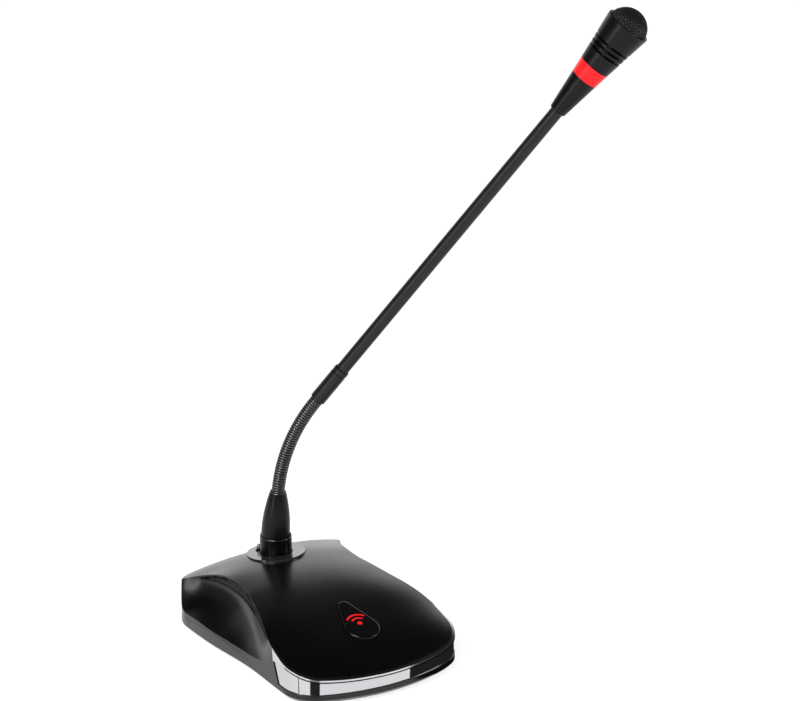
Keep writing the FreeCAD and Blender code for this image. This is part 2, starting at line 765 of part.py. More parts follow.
def symbol_pieces(prefix, depth):
    """Dot and two arcs that open away from it, a plain sign for speech."""
    top = d.button_rise
    low = top - depth
    dot_y = -2.5
    pieces = [seat(cylinder(prefix + "Dot", d.symbol_dot, depth), in_button((0, dot_y, low)))]
    for ring in (1, 2):
        middle = d.symbol_dot + d.symbol_pitch * ring
        outer = cylinder("%sOuter%d" % (prefix, ring), middle + d.symbol_line / 2, depth)
        outer.Angle = 100
        inner = cylinder("%sInner%d" % (prefix, ring), middle - d.symbol_line / 2, depth)
        turn = Rotation(Vector(0, 0, 1), 40)
        seat(outer, in_button((0, dot_y, low), turn))
        seat(inner, in_button((0, dot_y, low), turn))
        pieces.append(cut("%sArc%d" % (prefix, ring), outer, inner))
    return pieces


def make_button():
    """Cap with its flange and stem, the inlaid symbol, the guide and the switch under it."""
    flange_top = -d.wall - d.button_sag - 0.3
    flange_low = flange_top - d.button_flange_thickness
    plunger_top = -d.switch_depth + d.board_thickness + d.switch_height + 1.3
    cap = teardrop_solid("CapBlank", -float(d.button_gap), float(flange_low) + 0.2,
                         float(d.button_rise - flange_low) - 0.2, float(d.button_bevel))
    flange = teardrop_solid("CapFlange", float(d.button_flange), float(flange_low),
                            float(d.button_flange_thickness))
    stem = seat(cylinder("CapStem", 2.6, flange_low - plunger_top + 0.5),
                in_button((0, 0, plunger_top)))
    blank = fuse("CapFused", cap, flange, stem)
    node(cut("TalkButton", blank, *symbol_pieces("Pocket", d.symbol_depth)), "talk_button")
    node(group("ButtonSymbol", symbol_pieces("Symbol", d.symbol_depth)), "button_symbol")
    guide_top = -float(d.wall + d.button_sag) - 0.25
    guide_low = guide_top - float(d.guide_depth)
    inner = float(d.button_flange) + 0.35
    board_top = -float(d.switch_depth) + float(d.board_thickness)
    outer = teardrop_solid("GuideOuter", inner + float(d.guide_wall), guide_low,
                           float(d.guide_depth))
    hole = teardrop_solid("GuideInner", inner, guide_low - 1, float(d.guide_depth) + 2)
    legs = []
    for index, x in enumerate((-1, 1)):
        leg = box("GuideLeg%d" % index, d.guide_wall + 1, 8, guide_low - board_top + 0.5)
        shift = Vector(x * (float(d.button_big_radius) + inner + 0.3), -4, board_top)
        leg.Placement = BUTTON.multiply(Placement(shift, Rotation())).multiply(leg.Placement)
        legs.append(leg)
    node(cut("ButtonGuide", fuse("GuideFused", outer, *legs), hole), "button_guide")
    board = box("SwitchBoardBlank", (d.button_big_radius + 4.0) * 2, 16, d.board_thickness)
    board.Placement = in_button((0, -2, -d.switch_depth)).multiply(board.Placement)
    node(board, "switch_board")
    body = box("SwitchBody", d.switch_width, d.switch_width, d.switch_height)
    body.Placement = in_button((0, 0, board_top)).multiply(body.Placement)
    bore = seat(cylinder("SwitchBore", d.plunger_diameter / 2 + 0.1, d.switch_height),
                in_button((0, 0, board_top + 0.8)))
    node(cut("TactSwitch", body, bore), "tact_switch")
    low = board_top + 0.8 + float(d.button_travel) + 0.3
    plunger = seat(cylinder("Plunger", d.plunger_diameter / 2, plunger_top - low),
                   in_button((0, 0, low)))
    node(plunger, "switch_plunger")


# ---------------------------------------------------------------- socket and latch
SOCKET_SCREW_ANGLES = (-90, 30)
SOCKET_BORE = d.spigot_diameter / 2 + d.socket_gap
CONTACT_ANGLES = (90, 210, 330)
CONTACT_CIRCLE = 3.8
PIN_RADIUS = 1.2
BARREL_LOW = FLANGE_Z + 0.3
SPIGOT_LOW = BARREL_LOW - d.spigot_length
SOCKET_FLOOR = SPIGOT_LOW - 0.8


def make_socket():
    """Receptacle, its insert with three contact sleeves, and its screws."""
    bottom = SOCKET_FLOOR - d.socket_wall
    flange = cylinder("SocketFlange", d.socket_flange / 2, d.socket_flange_thickness,
                      at=(0, COLLAR_Y, FLANGE_Z - d.socket_flange_thickness))
    tube = cylinder("SocketTube", SOCKET_BORE + d.socket_wall, FLANGE_Z - bottom - 1,
                    at=(0, COLLAR_Y, bottom))
    bore = cylinder("SocketBore", SOCKET_BORE, 40, at=(0, COLLAR_Y, SOCKET_FLOOR))
    shelf = box("LatchShelf", 6.4, d.latch_width + 2, 1.4,
                at=polar(SOCKET_BORE + d.socket_wall + 1.6, d.latch_angle, FLANGE_Z - 13.4),
                turn=LATCH_TURN)
    tools = [bore, collar_slot("SocketSlot", 0.25)]
    for index, angle in enumerate(SOCKET_SCREW_ANGLES):
        tools.append(cylinder("SocketHole%d" % index, d.screw_diameter / 2 - 0.4, 20,
                              at=polar(d.socket_flange / 2 - 2.6, angle, FLANGE_Z - 10)))
    node(cut("StemSocket", fuse("SocketFused", flange, tube, shelf), *tools), "stem_socket")
    insert = cylinder("InsertBlank", 7.2, 9.0, at=(0, COLLAR_Y, SOCKET_FLOOR))
    holes = []
    sleeves = []
    for index, angle in enumerate(CONTACT_ANGLES):
        low = SOCKET_FLOOR + 1.0
        holes.append(cylinder("ContactHole%d" % index, 1.8, 20,
                              at=polar(CONTACT_CIRCLE, angle, low)))
        sleeve = cylinder("SleeveBlank%d" % index, 1.8, 7.5,
                          at=polar(CONTACT_CIRCLE, angle, low))
        sleeve_bore = cylinder("SleeveBore%d" % index, PIN_RADIUS + 0.05, 20,
                               at=polar(CONTACT_CIRCLE, angle, low + 1.0))
        sleeves.append(cut("Sleeve%d" % index, sleeve, sleeve_bore))
    node(cut("SocketInsert", insert, *holes), "socket_insert")
    node(group("SocketContacts", sleeves), "socket_contacts")
    screws = []
    for index, angle in enumerate(SOCKET_SCREW_ANGLES):
        spot = polar(d.socket_flange / 2 - 2.6, angle, 0)
        low = FLANGE_Z - d.socket_flange_thickness
        head = cylinder("SocketScrewHead%d" % index, 2.2, 1.6, at=(spot[0], spot[1], low - 1.6))
        shank = cylinder("SocketScrewShank%d" % index, 1.0, 4.2, at=(spot[0], spot[1], low - 0.2))
        screws.append(fuse("SocketScrew%d" % index, head, shank))
    node(group("SocketScrews", screws), "socket_screws")


def make_latch():
    """Release tab with a small finger loop, and the spring that lifts it."""
    foot = FLANGE_Z - 7.0
    loop_z = COLLAR_Z + d.latch_rise - 1.8
    bar = box("LatchBar", d.latch_thickness, d.latch_width, loop_z - foot - 1.0,
              at=polar(LATCH_RADIUS, d.latch_angle, foot), turn=LATCH_TURN)
    shoulder = box("LatchShoulder", d.latch_thickness, d.latch_width + 2.4, 2.4,
                   at=polar(LATCH_RADIUS, d.latch_angle,
                            FLANGE_Z - d.socket_flange_thickness - 2.6), turn=LATCH_TURN)
    loop = doc.addObject("Part::Torus", "LatchLoop")
    loop.Radius1 = 1.6
    loop.Radius2 = 0.65
    across = Rotation(Vector(0, 0, 1), d.latch_angle).multiply(Rotation(Vector(1, 0, 0), 90))
    loop.Placement = Placement(Vector(*polar(LATCH_RADIUS, d.latch_angle, loop_z + 0.6)), across)
    node(fuse("ReleaseLatch", bar, shoulder, loop), "release_latch")
    shelf_top = FLANGE_Z - 12.0
    spring = Part.makeHelix(1.0, foot - shelf_top - 0.6, 0.8)
    wire = Part.Wire(spring.Edges)
    profile = Part.Wire([Part.makeCircle(0.2, Vector(0.8, 0, 0), Vector(0, 1, 0))])
    coil = wire.makePipeShell([profile], True, True)
    spot = Vector(*polar(LATCH_RADIUS, d.latch_angle, shelf_top + 0.3))
    node(formed("LatchSpring", coil, Placement(spot, Rotation())), "latch_spring")


# ---------------------------------------------------------------- inside the base
OUTLET_RIM = 1.0
BALLAST_LOW = d.foot_lift + d.tray_floor + 0.05
BALLAST_TOP = BALLAST_LOW + d.ballast_thickness
BOARD_Y = COLLAR_Y - d.board_distance
STANDOFF_PLACES = (
    (d.board_width / 2 - 4, BOARD_Y + d.board_length / 2 - 4),
    (d.board_width / 2 - 4, BOARD_Y - d.board_length / 2 + 4),
)


def make_ballast():
    blank = formed("BallastPlan", plan_block(float(d.ballast_inset)))
    slab = box("BallastSlab", d.base_length * 2, d.base_length * 2, d.ballast_thickness,
               at=(0, 0, BALLAST_LOW))
    holes = []
    for index, (x, y) in enumerate(both_sides(SCREW_PLACES)):
        holes.append(cylinder("BallastHole%d" % index, d.boss_diameter / 2 + 0.5, ABOVE,
                              at=(x, y, 0)))
    node(cut("BallastPlate", common("BallastBlank", blank, slab), *holes), "ballast_plate")


def make_board():
    """Main board on brass standoffs, with its screws and larger parts."""
    board = box("BoardBlank", d.board_width, d.board_length, d.board_thickness,
                at=(0, BOARD_Y, d.board_height))
    holes = []
    standoffs = []
    screws = []
    top = d.board_height + d.board_thickness
    for index, (x, y) in enumerate(both_sides(STANDOFF_PLACES)):
        holes.append(cylinder("BoardHole%d" % index, 1.4, 10, at=(x, y, d.board_height - 5)))
        post = cylinder("StandoffBlank%d" % index, d.standoff_diameter / 2,
                        d.board_height - BALLAST_TOP, at=(x, y, BALLAST_TOP))
        tap = cylinder("StandoffTap%d" % index, 1.3, 4, at=(x, y, d.board_height - 3.5))
        standoffs.append(cut("Standoff%d" % index, post, tap))
        head = cylinder("BoardScrewHead%d" % index, 2.3, 1.5, at=(x, y, top))
        shank = cylinder("BoardScrewShank%d" % index, 1.25, 4.6, at=(x, y, top - 4.5))
        screws.append(fuse("BoardScrew%d" % index, head, shank))
    node(cut("MainBoard", board, *holes), "main_board")
    node(group("BoardStandoffs", standoffs), "board_standoffs")
    node(group("BoardScrews", screws), "board_screws")
    parts = [
        box("Chip", 12, 12, 1.8, at=(0, BOARD_Y + 3, top)),
        box("Transformer", 12, 10, 6.5, at=(-10, BOARD_Y - 18, top)),
        cylinder("Capacitor", 3.2, 6.5, at=(12, BOARD_Y - 16, top)),
        box("CableHeader", 14, 5, 5.5, at=(0, BOARD_Y + 22, top)),
        box("ButtonHeader", 8, 4, 4.5, at=(2, BOARD_Y - 25, top)),
    ]
    node(group("BoardParts", parts), "board_parts")


def make_speakers():
    """A small speaker behind each perforated band, on a bracket that stands on the ballast."""
    y = COLLAR_Y - d.speaker_distance
    wide = float(d.base_half_width) / STATION_HALF_WIDTH
    face_x = 43.8 * wide - d.speaker_room
    roof = top_of(crown_inner.Shape, face_x, y)
    middle = roof - 0.8 - d.speaker_diameter / 2
    brackets = []
    for side, sign in (("left", -1), ("right", 1)):
        turn = Rotation(Vector(0, 1, 0), 90 * sign)
        frame = cylinder("SpeakerFrame_" + side, d.speaker_diameter / 2, 2.4,
                         at=(sign * (face_x - 2.4), y, middle), turn=turn)
        cone = doc.addObject("Part::Cone", "SpeakerCone_" + side)
        bind(cone, "Radius1", d.speaker_diameter / 2 - 4.5)
        bind(cone, "Radius2", d.speaker_diameter / 2 - 0.8)
        bind(cone, "Height", d.speaker_depth - 2.4 + 0.2)
        place(cone, (sign * (face_x - d.speaker_depth), y, middle), turn)
        dish = doc.addObject("Part::Cone", "SpeakerDish_" + side)
        dish.Radius1 = 2.0
        bind(dish, "Radius2", d.speaker_diameter / 2 - 1.6)
        dish.Height = 3.0
        place(dish, (sign * (face_x - 2.9), y, middle), turn)
        node(cut("Speaker_" + side, fuse("SpeakerBlank_" + side, frame, cone), dish),
             "speaker_" + side)
        plate_x = sign * (face_x + d.bracket_thickness / 2 + 0.05)
        plate = box("BracketPlate_" + side, d.bracket_thickness, d.speaker_diameter,
                    middle - BALLAST_TOP + d.speaker_diameter / 2 - 6.6,
                    at=(plate_x, y, BALLAST_TOP))
        hole = cylinder("BracketHole_" + side, d.speaker_diameter / 2 - 1.5, 20,
                        at=(sign * (face_x - 10), y, middle), turn=turn)
        brackets.append(cut("Bracket_" + side, plate, hole))
    node(group("SpeakerBrackets", brackets), "speaker_brackets")


def make_outlet():
    """Bushing for the cable in the rear wall."""
    turn = Rotation(Vector(1, 0, 0), -90)
    body = cylinder("OutletBody", d.outlet_diameter / 2, d.outlet_depth + 3,
                    at=(0, REAR_Y - d.outlet_depth - 2, d.outlet_height), turn=turn)
    flange = cylinder("OutletFlange", d.outlet_flange / 2, OUTLET_RIM,
                      at=(0, REAR_Y + 0.05, d.outlet_height), turn=turn)
    bore = cylinder("OutletBore", d.outlet_bore / 2, d.outlet_depth * 3,
                    at=(0, REAR_Y - d.outlet_depth * 2, d.outlet_height), turn=turn)
    node(cut("RearOutlet", fuse("OutletFused", body, flange), bore), "rear_outlet")


# ---------------------------------------------------------------- stem
def heading_direction(lean):
    """Unit vector that leans from the vertical along the stem's heading."""
    lean = math.radians(lean)
    heading = math.radians(d.stem_heading)
    return Vector(math.sin(lean) * math.cos(heading), math.sin(lean) * math.sin(heading),
                  math.cos(lean))


def upright_to(direction):
    """Turn that takes +Z to a direction."""
    return Rotation(Vector(0, 0, 1), direction)


BOOT_AXIS = heading_direction(d.boot_lean)
STEM_AXIS = heading_direction(d.stem_lean)
BOOT_PIVOT = Vector(0, COLLAR_Y, COLLAR_Z + d.boot_pivot)
BOOT_TIP = BOOT_PIVOT + BOOT_AXIS * float(d.boot_length)


def flex_point(run):
    """Point on the flexible section's arc at a distance from the boot's tip."""
    start = math.radians(d.boot_lean)
    rate = (math.radians(d.stem_lean) - start) / d.flex_length
    lean = start + rate * run
    aside = (math.cos(start) - math.cos(lean)) / rate
    upward = (math.sin(lean) - math.sin(start)) / rate
    flat = heading_direction(90)
    return BOOT_TIP + flat * aside + Vector(0, 0, upward)


FLEX_END = flex_point(float(d.flex_length))
PITCH = float(d.flex_length) / LINKS


def flex_hinges():
    """Bending points, half a link in from each end of the flexible section."""
    points = [flex_point(PITCH * (index + 0.5)) for index in range(LINKS)]
    points[0] = BOOT_TIP + BOOT_AXIS * (PITCH / 2)
    points[-1] = FLEX_END - STEM_AXIS * (PITCH / 2)
    return points


HINGES = flex_hinges()
STEM = Placement(FLEX_END, upright_to(STEM_AXIS))


def make_plug():
    """Barrel that stands in the socket, with its insulator and pins."""
    low = SPIGOT_LOW
    outer = d.barrel_diameter / 2
    spigot = d.spigot_diameter / 2
    top = COLLAR_Z + d.barrel_top - low
    shoulder = BARREL_LOW - low
    seat_radius = d.boot_foot_diameter / 2 + 0.55
    inner = spigot - 1.5
    outline = [
        (inner, 0), (spigot, 0), (spigot, shoulder), (outer, shoulder), (outer, top - 0.5),
        (outer - 0.5, top), (seat_radius, top), (seat_radius, top - 3.4), (inner, top - 3.4),
    ]
    node(turned("PlugBarrel", outline, Placement(Vector(0, COLLAR_Y, low), Rotation())),
         "plug_barrel")
    cap_low = low + 12
    insulator = cylinder("InsulatorBlank", inner - 0.05, 4, at=(0, COLLAR_Y, cap_low))
    holes = []
    pins = []
    for index, angle in enumerate(CONTACT_ANGLES):
        holes.append(cylinder("InsulatorHole%d" % index, PIN_RADIUS + 0.02, 20,
                              at=polar(CONTACT_CIRCLE, angle, cap_low - 2)))
        pins.append(cylinder("PlugPin%d" % index, PIN_RADIUS, 11.5,
                             at=polar(CONTACT_CIRCLE, angle, cap_low - 6.5)))
    node(cut("PlugInsulator", insulator, *holes), "plug_insulator")
    node(group("PlugPins", pins), "plug_pins")


def make_boot():
    """Tapered strain relief that leans in the barrel's mouth."""
    foot = d.boot_foot_diameter / 2
    tip = d.boot_tip_diameter / 2
    sunk = d.boot_sunk
    steps = 6
    reach = d.boot_length + d.boot_lip
    outline = [(d.flex_diameter / 2 + 0.15, sunk + reach), (tip - 0.6, sunk + reach)]
    for step in range(steps, -1, -1):
        share = step / steps
        radius = tip + (foot - tip) * (1 - share ** 1.8)
        height = sunk + (reach - 0.7) * share
        outline.append((radius, height))
    outline += [(foot, 0), (d.flex_diameter / 2 + 0.15, 0)]
    start = BOOT_PIVOT - BOOT_AXIS * float(sunk)
    node(turned("PlugBoot", outline, Placement(start, upright_to(BOOT_AXIS))), "plug_boot")


def bead(name, low, high, ball, start, axis):
    """Cylinder of the flexible section with an optional socket below and ball above its hinge."""
    frame = Placement(start, upright_to(axis))
    pieces = [seat(cylinder(name + "Barrel", d.flex_diameter / 2, high - low),
                   frame.multiply(Placement(Vector(0, 0, low), Rotation())))]
    if ball:
        sphere = doc.addObject("Part::Sphere", name + "Ball")
        bind(sphere, "Radius", d.ball_radius)
        sphere.Placement = frame.multiply(Placement(Vector(0, 0, ball), Rotation()))
        pieces.append(sphere)
    solid = fuse(name + "Fused", *pieces) if len(pieces) > 1 else pieces[0]
    bore = seat(cylinder(name + "Bore", d.flex_bore / 2, PITCH * 4),
                frame.multiply(Placement(Vector(0, 0, -PITCH * 2), Rotation())))
    return solid, bore, frame


def make_flex():
    """Ball-jointed links from the boot to the ferrule."""
    slit = float(d.bead_slit) / 2
    root = float(d.flex_root)
    solid, bore, _ = bead("FlexBase", -root, PITCH / 2 - slit, PITCH / 2, BOOT_TIP, BOOT_AXIS)
    node(cut("FlexBase", solid, bore), "flex_base")
    for index in range(LINKS):
        start = HINGES[index]
        last = index == LINKS - 1
        if last:
            axis = STEM_AXIS
            solid, bore, frame = bead("FlexLink%d" % (index + 1), slit,
                                      PITCH / 2 + float(d.flex_tail), 0, start, axis)
        else:
            step = HINGES[index + 1] - start
            solid, bore, frame = bead("FlexLink%d" % (index + 1), slit, step.Length - slit,
                                      step.Length, start, step)
        cup = doc.addObject("Part::Sphere", "FlexCup%d" % (index + 1))
        bind(cup, "Radius", d.ball_radius + d.bead_gap)
        cup.Placement = frame
        node(cut("FlexLink%d" % (index + 1), solid, bore, cup), "flex_link_%d" % (index + 1))


def on_stem(distance):
    """Placement on the stem's axis at a distance from the flexible section's end."""
    return STEM.multiply(Placement(Vector(0, 0, distance), Rotation()))


def make_tube():
    """Ferrule, rigid tube and the cable inside it."""
    bore = d.flex_diameter / 2 + 0.1
    outer = d.ferrule_diameter / 2
    end = d.ferrule_length
    tube = d.tube_diameter / 2
    outline = [
        (bore, 0), (outer - 0.4, 0), (outer, 0.4), (outer, end - 4.2), (outer - 0.35, end - 3.9),
        (outer - 0.35, end - 3.4), (outer, end - 3.1), (outer, end - 0.5), (outer - 0.5, end),
        (bore, end),
    ]
    node(turned("Ferrule", outline, on_stem(d.ferrule_start)), "ferrule")
    start = d.flex_tail + 1
    reach = d.head_start + 8 - start
    outline = [(d.tube_bore / 2, 0), (tube, 0), (tube, reach), (d.tube_bore / 2, reach)]
    node(turned("StemTube", outline, on_stem(start)), "stem_tube")
    cable = cylinder("StemCable", d.cable_diameter / 2, d.head_start + 20 - start)
    node(seat(cable, on_stem(start)), "stem_cable")


# ---------------------------------------------------------------- head
RING_LOW = d.lower_cone_length
RING_TOP = RING_LOW + d.ring_length
RIM_TOP = RING_TOP + d.upper_cone_length
RIM_HEIGHT = 2.0


def cone_radius(height):
    """Outer radius of the upper cone at a height above the head's foot."""
    low = d.ring_top_diameter / 2
    high = d.rim_diameter / 2
    return low + (high - low) * ((height - RING_TOP) / d.upper_cone_length)


def make_head():
    head = on_stem(d.head_start)
    wall = d.head_wall
    foot = d.head_foot_diameter / 2
    ring_low = d.ring_foot_diameter / 2
    ring_top = d.ring_top_diameter / 2
    bore = d.tube_diameter / 2 + 0.1
    lower = [
        (bore, 0), (foot - 0.5, 0), (foot, 0.5), (ring_low, RING_LOW), (ring_low - wall, RING_LOW),
        (bore + 0.3, 9), (bore, 9),
    ]
    node(turned("HeadLowerCone", lower, head), "head_lower_cone")
    ring = [
        (ring_low - wall, 0), (ring_low, 0), (ring_top, d.ring_length),
        (ring_top - wall, d.ring_length),
    ]
    node(turned("LightRing", ring, on_stem(d.head_start + RING_LOW)), "light_ring")
    disc = [
        (3.0, 0), (ring_low - wall - 0.2, 0), (ring_low - wall - 0.2, 1.2), (3.0, 1.2),
    ]
    board_z = RING_LOW + 3.0
    node(turned("LedBoard", disc, on_stem(d.head_start + board_z)), "led_board")
    leds = []
    for index in range(6):
        turn = Rotation(Vector(0, 0, 1), 60 * index)
        led = box("RingLed%d" % index, 1.6, 1.2, 0.9)
        spot = turn.multVec(Vector(ring_low - wall - 1.4, 0, board_z + 1.2))
        led.Placement = head.multiply(Placement(spot, turn)).multiply(led.Placement)
        leds.append(led)
    node(group("RingLeds", leds), "ring_leds")
    make_upper_cone(head)


def make_upper_cone(head):
    """Vented upper cone with the rim, dome, foam and capsule."""
    wall = d.head_wall
    top = d.upper_cone_length - RIM_HEIGHT
    low_radius = d.ring_top_diameter / 2
    outline = [(low_radius - wall, 0), (low_radius, 0)]
    for index in range(3):
        middle = d.upper_cone_length * 0.33 + d.groove_pitch * index
        half = d.groove_width / 2
        below = cone_radius(RING_TOP + middle - half)
        above = cone_radius(RING_TOP + middle + half)
        outline += [
            (below, middle - half), (below - d.groove_depth, middle - half + 0.3),
            (above - d.groove_depth, middle + half - 0.3), (above, middle + half),
        ]
    end = cone_radius(RING_TOP + top)
    outline += [(end, top), (end - wall, top)]
    base = on_stem(d.head_start + RING_TOP)
    cone = turned("UpperConeBlank", outline, base)
    slots = []
    for index in range(3):
        for side in range(3):
            turn = Rotation(Vector(0, 0, 1), 60 * side + 12)
            slot = box("VentSlot%d%d" % (index, side), 40, 8.6, 0.9)
            lift = Vector(0, 0, d.upper_cone_length * 0.33 + d.groove_pitch * index - 0.45)
            slot.Placement = base.multiply(Placement(lift, turn)).multiply(slot.Placement)
            slots.append(slot)
    node(cut("HeadUpperCone", cone, *slots), "head_upper_cone")
    rim_low = cone_radius(RING_TOP + top) - 0.0
    rim_top = d.rim_diameter / 2
    dome = d.dome_diameter / 2
    rim = [
        (rim_low - wall, 0), (rim_low, 0), (rim_top, RIM_HEIGHT), (rim_top - 0.35, RIM_HEIGHT + 0.3),
        (dome + 0.1, RIM_HEIGHT - 0.5), (dome + 0.1, 0.9), (rim_low - wall, 0.9),
    ]
    rim_place = on_stem(d.head_start + RING_TOP + top)
    node(turned("GrilleRim", rim, rim_place), "grille_rim")
    make_dome(on_stem(d.head_start + RING_TOP + top + 0.95), wall)
    make_capsule(top)


def dome_outline(radius, height, thickness, steps):
    """Closed outline of a thin dome with a short skirt."""
    outline = []
    for step in range(steps + 1):
        angle = math.pi / 2 * step / steps
        outline.append((radius * math.cos(angle), height * math.sin(angle)))
    for step in range(steps, -1, -1):
        angle = math.pi / 2 * step / steps
        outline.append(((radius - thickness) * math.cos(angle),
                        (height - thickness) * math.sin(angle)))
    return outline


def dome_shape(radius, height, thickness, steps=10):
    """Thin dome of revolution from a half ellipse and its inner copy."""
    skirt = RIM_HEIGHT
    points = dome_outline(radius, height, thickness, steps)
    outer = points[:steps + 1]
    inner = points[steps + 1:]
    wire = Part.Wire([
        Part.makeLine(Vector(radius, 0, -skirt + 1.0), Vector(radius, 0, 0)),
        spline([Vector(r, 0, z) for r, z in outer]),
        Part.makeLine(Vector(0, 0, height), Vector(0, 0, height - thickness)),
        spline([Vector(r, 0, z) for r, z in inner]),
        Part.makeLine(Vector(radius - thickness, 0, 0),
                      Vector(radius - thickness, 0, -skirt + 1.0)),
        Part.makeLine(Vector(radius - thickness, 0, -skirt + 1.0),
                      Vector(radius, 0, -skirt + 1.0)),
    ])
    return Part.Face(wire).revolve(Vector(0, 0, 0), Vector(0, 0, 1), 360)


def make_dome(place_low, wall):
    """Wire dome and the foam under it, both seated in the rim."""
    skirt = RIM_HEIGHT - 1.0
    lifted = place_low.multiply(Placement(Vector(0, 0, skirt), Rotation()))
    radius = float(d.dome_diameter) / 2
    height = float(d.dome_height)
    node(formed("GrilleDome", dome_shape(radius, height, 0.8), lifted), "grille_dome")
    foam = dome_shape(radius - 1.0, height - 1.0, 3.0)
    node(formed("WindscreenFoam", foam, lifted), "windscreen_foam")


def make_capsule(top):
    """Microphone capsule in a ring that rests inside the cone."""
    radius = d.capsule_diameter / 2
    low = RING_TOP + top - d.capsule_length + 3
    node(seat(cylinder("Capsule", radius, d.capsule_length), on_stem(d.head_start + low)), "capsule")
    hold = RING_TOP + top - 4
    reach = cone_radius(hold) - d.head_wall - 0.1
    ring = [(radius + 0.05, 0), (reach, 0), (reach, 2.0), (radius + 0.05, 2.0)]
    node(turned("CapsuleHolder", ring, on_stem(d.head_start + hold)), "capsule_holder")


# ---------------------------------------------------------------- assembly and export
def check_model():
    """Stop on any failed object or empty or invalid sub-part."""
    failed = [o.Name for o in doc.Objects if {"Invalid", "Error"} & set(o.State)]
    for thing in NODES:
        if thing.Shape.isNull() or not thing.Shape.isValid() or not thing.Shape.Solids:
            failed.append(thing.Label)
    if failed:
        raise RuntimeError("failed: " + ", ".join(failed))


def export():
    os.makedirs("parts", exist_ok=True)
    for thing in NODES:
        thing.Shape.exportStep("parts/%s.step" % thing.Label)


make_cover(make_trim(), make_grilles())
make_tray()
make_feet_and_screws()
make_button()
make_socket()
make_latch()
make_ballast()
make_board()
make_speakers()
make_outlet()
make_plug()
make_boot()
make_flex()
make_tube()
make_head()
doc.recompute()
check_model()
export()
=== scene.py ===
"""Gooseneck desk microphone: finishes, detail pieces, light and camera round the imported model."""
import json
import math

import bmesh
import bpy
from mathutils import Matrix, Vector
from mathutils.bvhtree import BVHTree


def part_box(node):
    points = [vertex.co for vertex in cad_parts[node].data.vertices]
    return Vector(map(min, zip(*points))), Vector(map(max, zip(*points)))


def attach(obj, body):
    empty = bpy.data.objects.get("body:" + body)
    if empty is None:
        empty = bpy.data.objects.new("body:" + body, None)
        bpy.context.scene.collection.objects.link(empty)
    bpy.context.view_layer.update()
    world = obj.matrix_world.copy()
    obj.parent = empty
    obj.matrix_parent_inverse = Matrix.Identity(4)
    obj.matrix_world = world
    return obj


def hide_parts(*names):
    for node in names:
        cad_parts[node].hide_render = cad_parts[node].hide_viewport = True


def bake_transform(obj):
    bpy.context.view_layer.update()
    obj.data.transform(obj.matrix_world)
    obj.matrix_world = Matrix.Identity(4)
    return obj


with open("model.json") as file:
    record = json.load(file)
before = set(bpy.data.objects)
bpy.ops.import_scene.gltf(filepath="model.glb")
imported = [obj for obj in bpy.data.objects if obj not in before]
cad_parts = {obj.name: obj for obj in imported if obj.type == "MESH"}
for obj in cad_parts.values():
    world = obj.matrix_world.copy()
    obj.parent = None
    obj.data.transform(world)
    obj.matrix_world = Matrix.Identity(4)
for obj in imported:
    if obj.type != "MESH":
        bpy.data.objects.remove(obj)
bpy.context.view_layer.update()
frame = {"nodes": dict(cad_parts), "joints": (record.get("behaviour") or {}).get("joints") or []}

MM = 0.001
UP = Vector((0, 0, 1))


def centre(node):
    """Middle of a node's box."""
    low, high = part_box(node)
    return (Vector(low) + Vector(high)) / 2


# ------------------------------------------------------------------ driving dimensions
LINKS = 8                      # hinges in the flexible section
FLEX_LENGTH = 68.7 * MM
FLEX_RADIUS = 4.3 * MM
PITCH = FLEX_LENGTH / LINKS    # between two hinges
BOOT_TIP_RADIUS = 5.4 * MM

HINGES = [Vector(joint["pos_m"]) for joint in frame["joints"] if joint["name"].startswith("flex_")]
STEM_AXIS = (centre("led_board") - centre("stem_tube")).normalized()
FLEX_END = HINGES[-1] + STEM_AXIS * (PITCH / 2)
HEADING = Vector((STEM_AXIS.x, STEM_AXIS.y, 0)).normalized()
STEM_LEAN = math.atan2(math.hypot(STEM_AXIS.x, STEM_AXIS.y), STEM_AXIS.z)
BOOT_LEAN = math.radians(4.0)
HEAD_START = 243.1 * MM        # top of the flexible section to the head's foot
FERRULE_START = 2.4 * MM       # top of the hinged part to the ferrule
BARREL_ABOVE = 11.5 * MM       # barrel top over the middle of the disc
RING_LOW = 26.3 * MM           # the head's foot to the lit ring
RING_LENGTH = 9.8 * MM
CONE_LENGTH = 32.2 * MM
RIM_HEIGHT = 2.0 * MM
DOME_RADIUS = 13.0 * MM
DOME_HEIGHT = 11.6 * MM
COLLAR_Y = centre("plug_barrel").y
BARREL_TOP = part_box("plug_barrel")[1][2]
BASE_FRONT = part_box("top_cover")[0][1]


def frame_on(origin, axis):
    """Matrix that puts +Z along an axis at a point, with +X level."""
    return Matrix.Translation(origin) @ UP.rotation_difference(axis).to_matrix().to_4x4()


def on_stem(distance):
    """Frame on the stem's axis at a distance above the flexible section."""
    return frame_on(FLEX_END + STEM_AXIS * distance, STEM_AXIS)


# ------------------------------------------------------------------ shader tools
def group_socket(tree, name, direction, kind, default=None):
    """Named socket on a node group, with its default where it is an input."""
    socket = tree.interface.new_socket(name, in_out=direction, socket_type=kind)
    if default is not None:
        socket.default_value = default
    return socket


def link(tree, source, target):
    tree.links.new(source, target)


def add_node(tree, kind, **settings):
    """New node with its settings, such as its operation."""
    made = tree.nodes.new(kind)
    for key, value in settings.items():
        setattr(made, key, value)
    return made


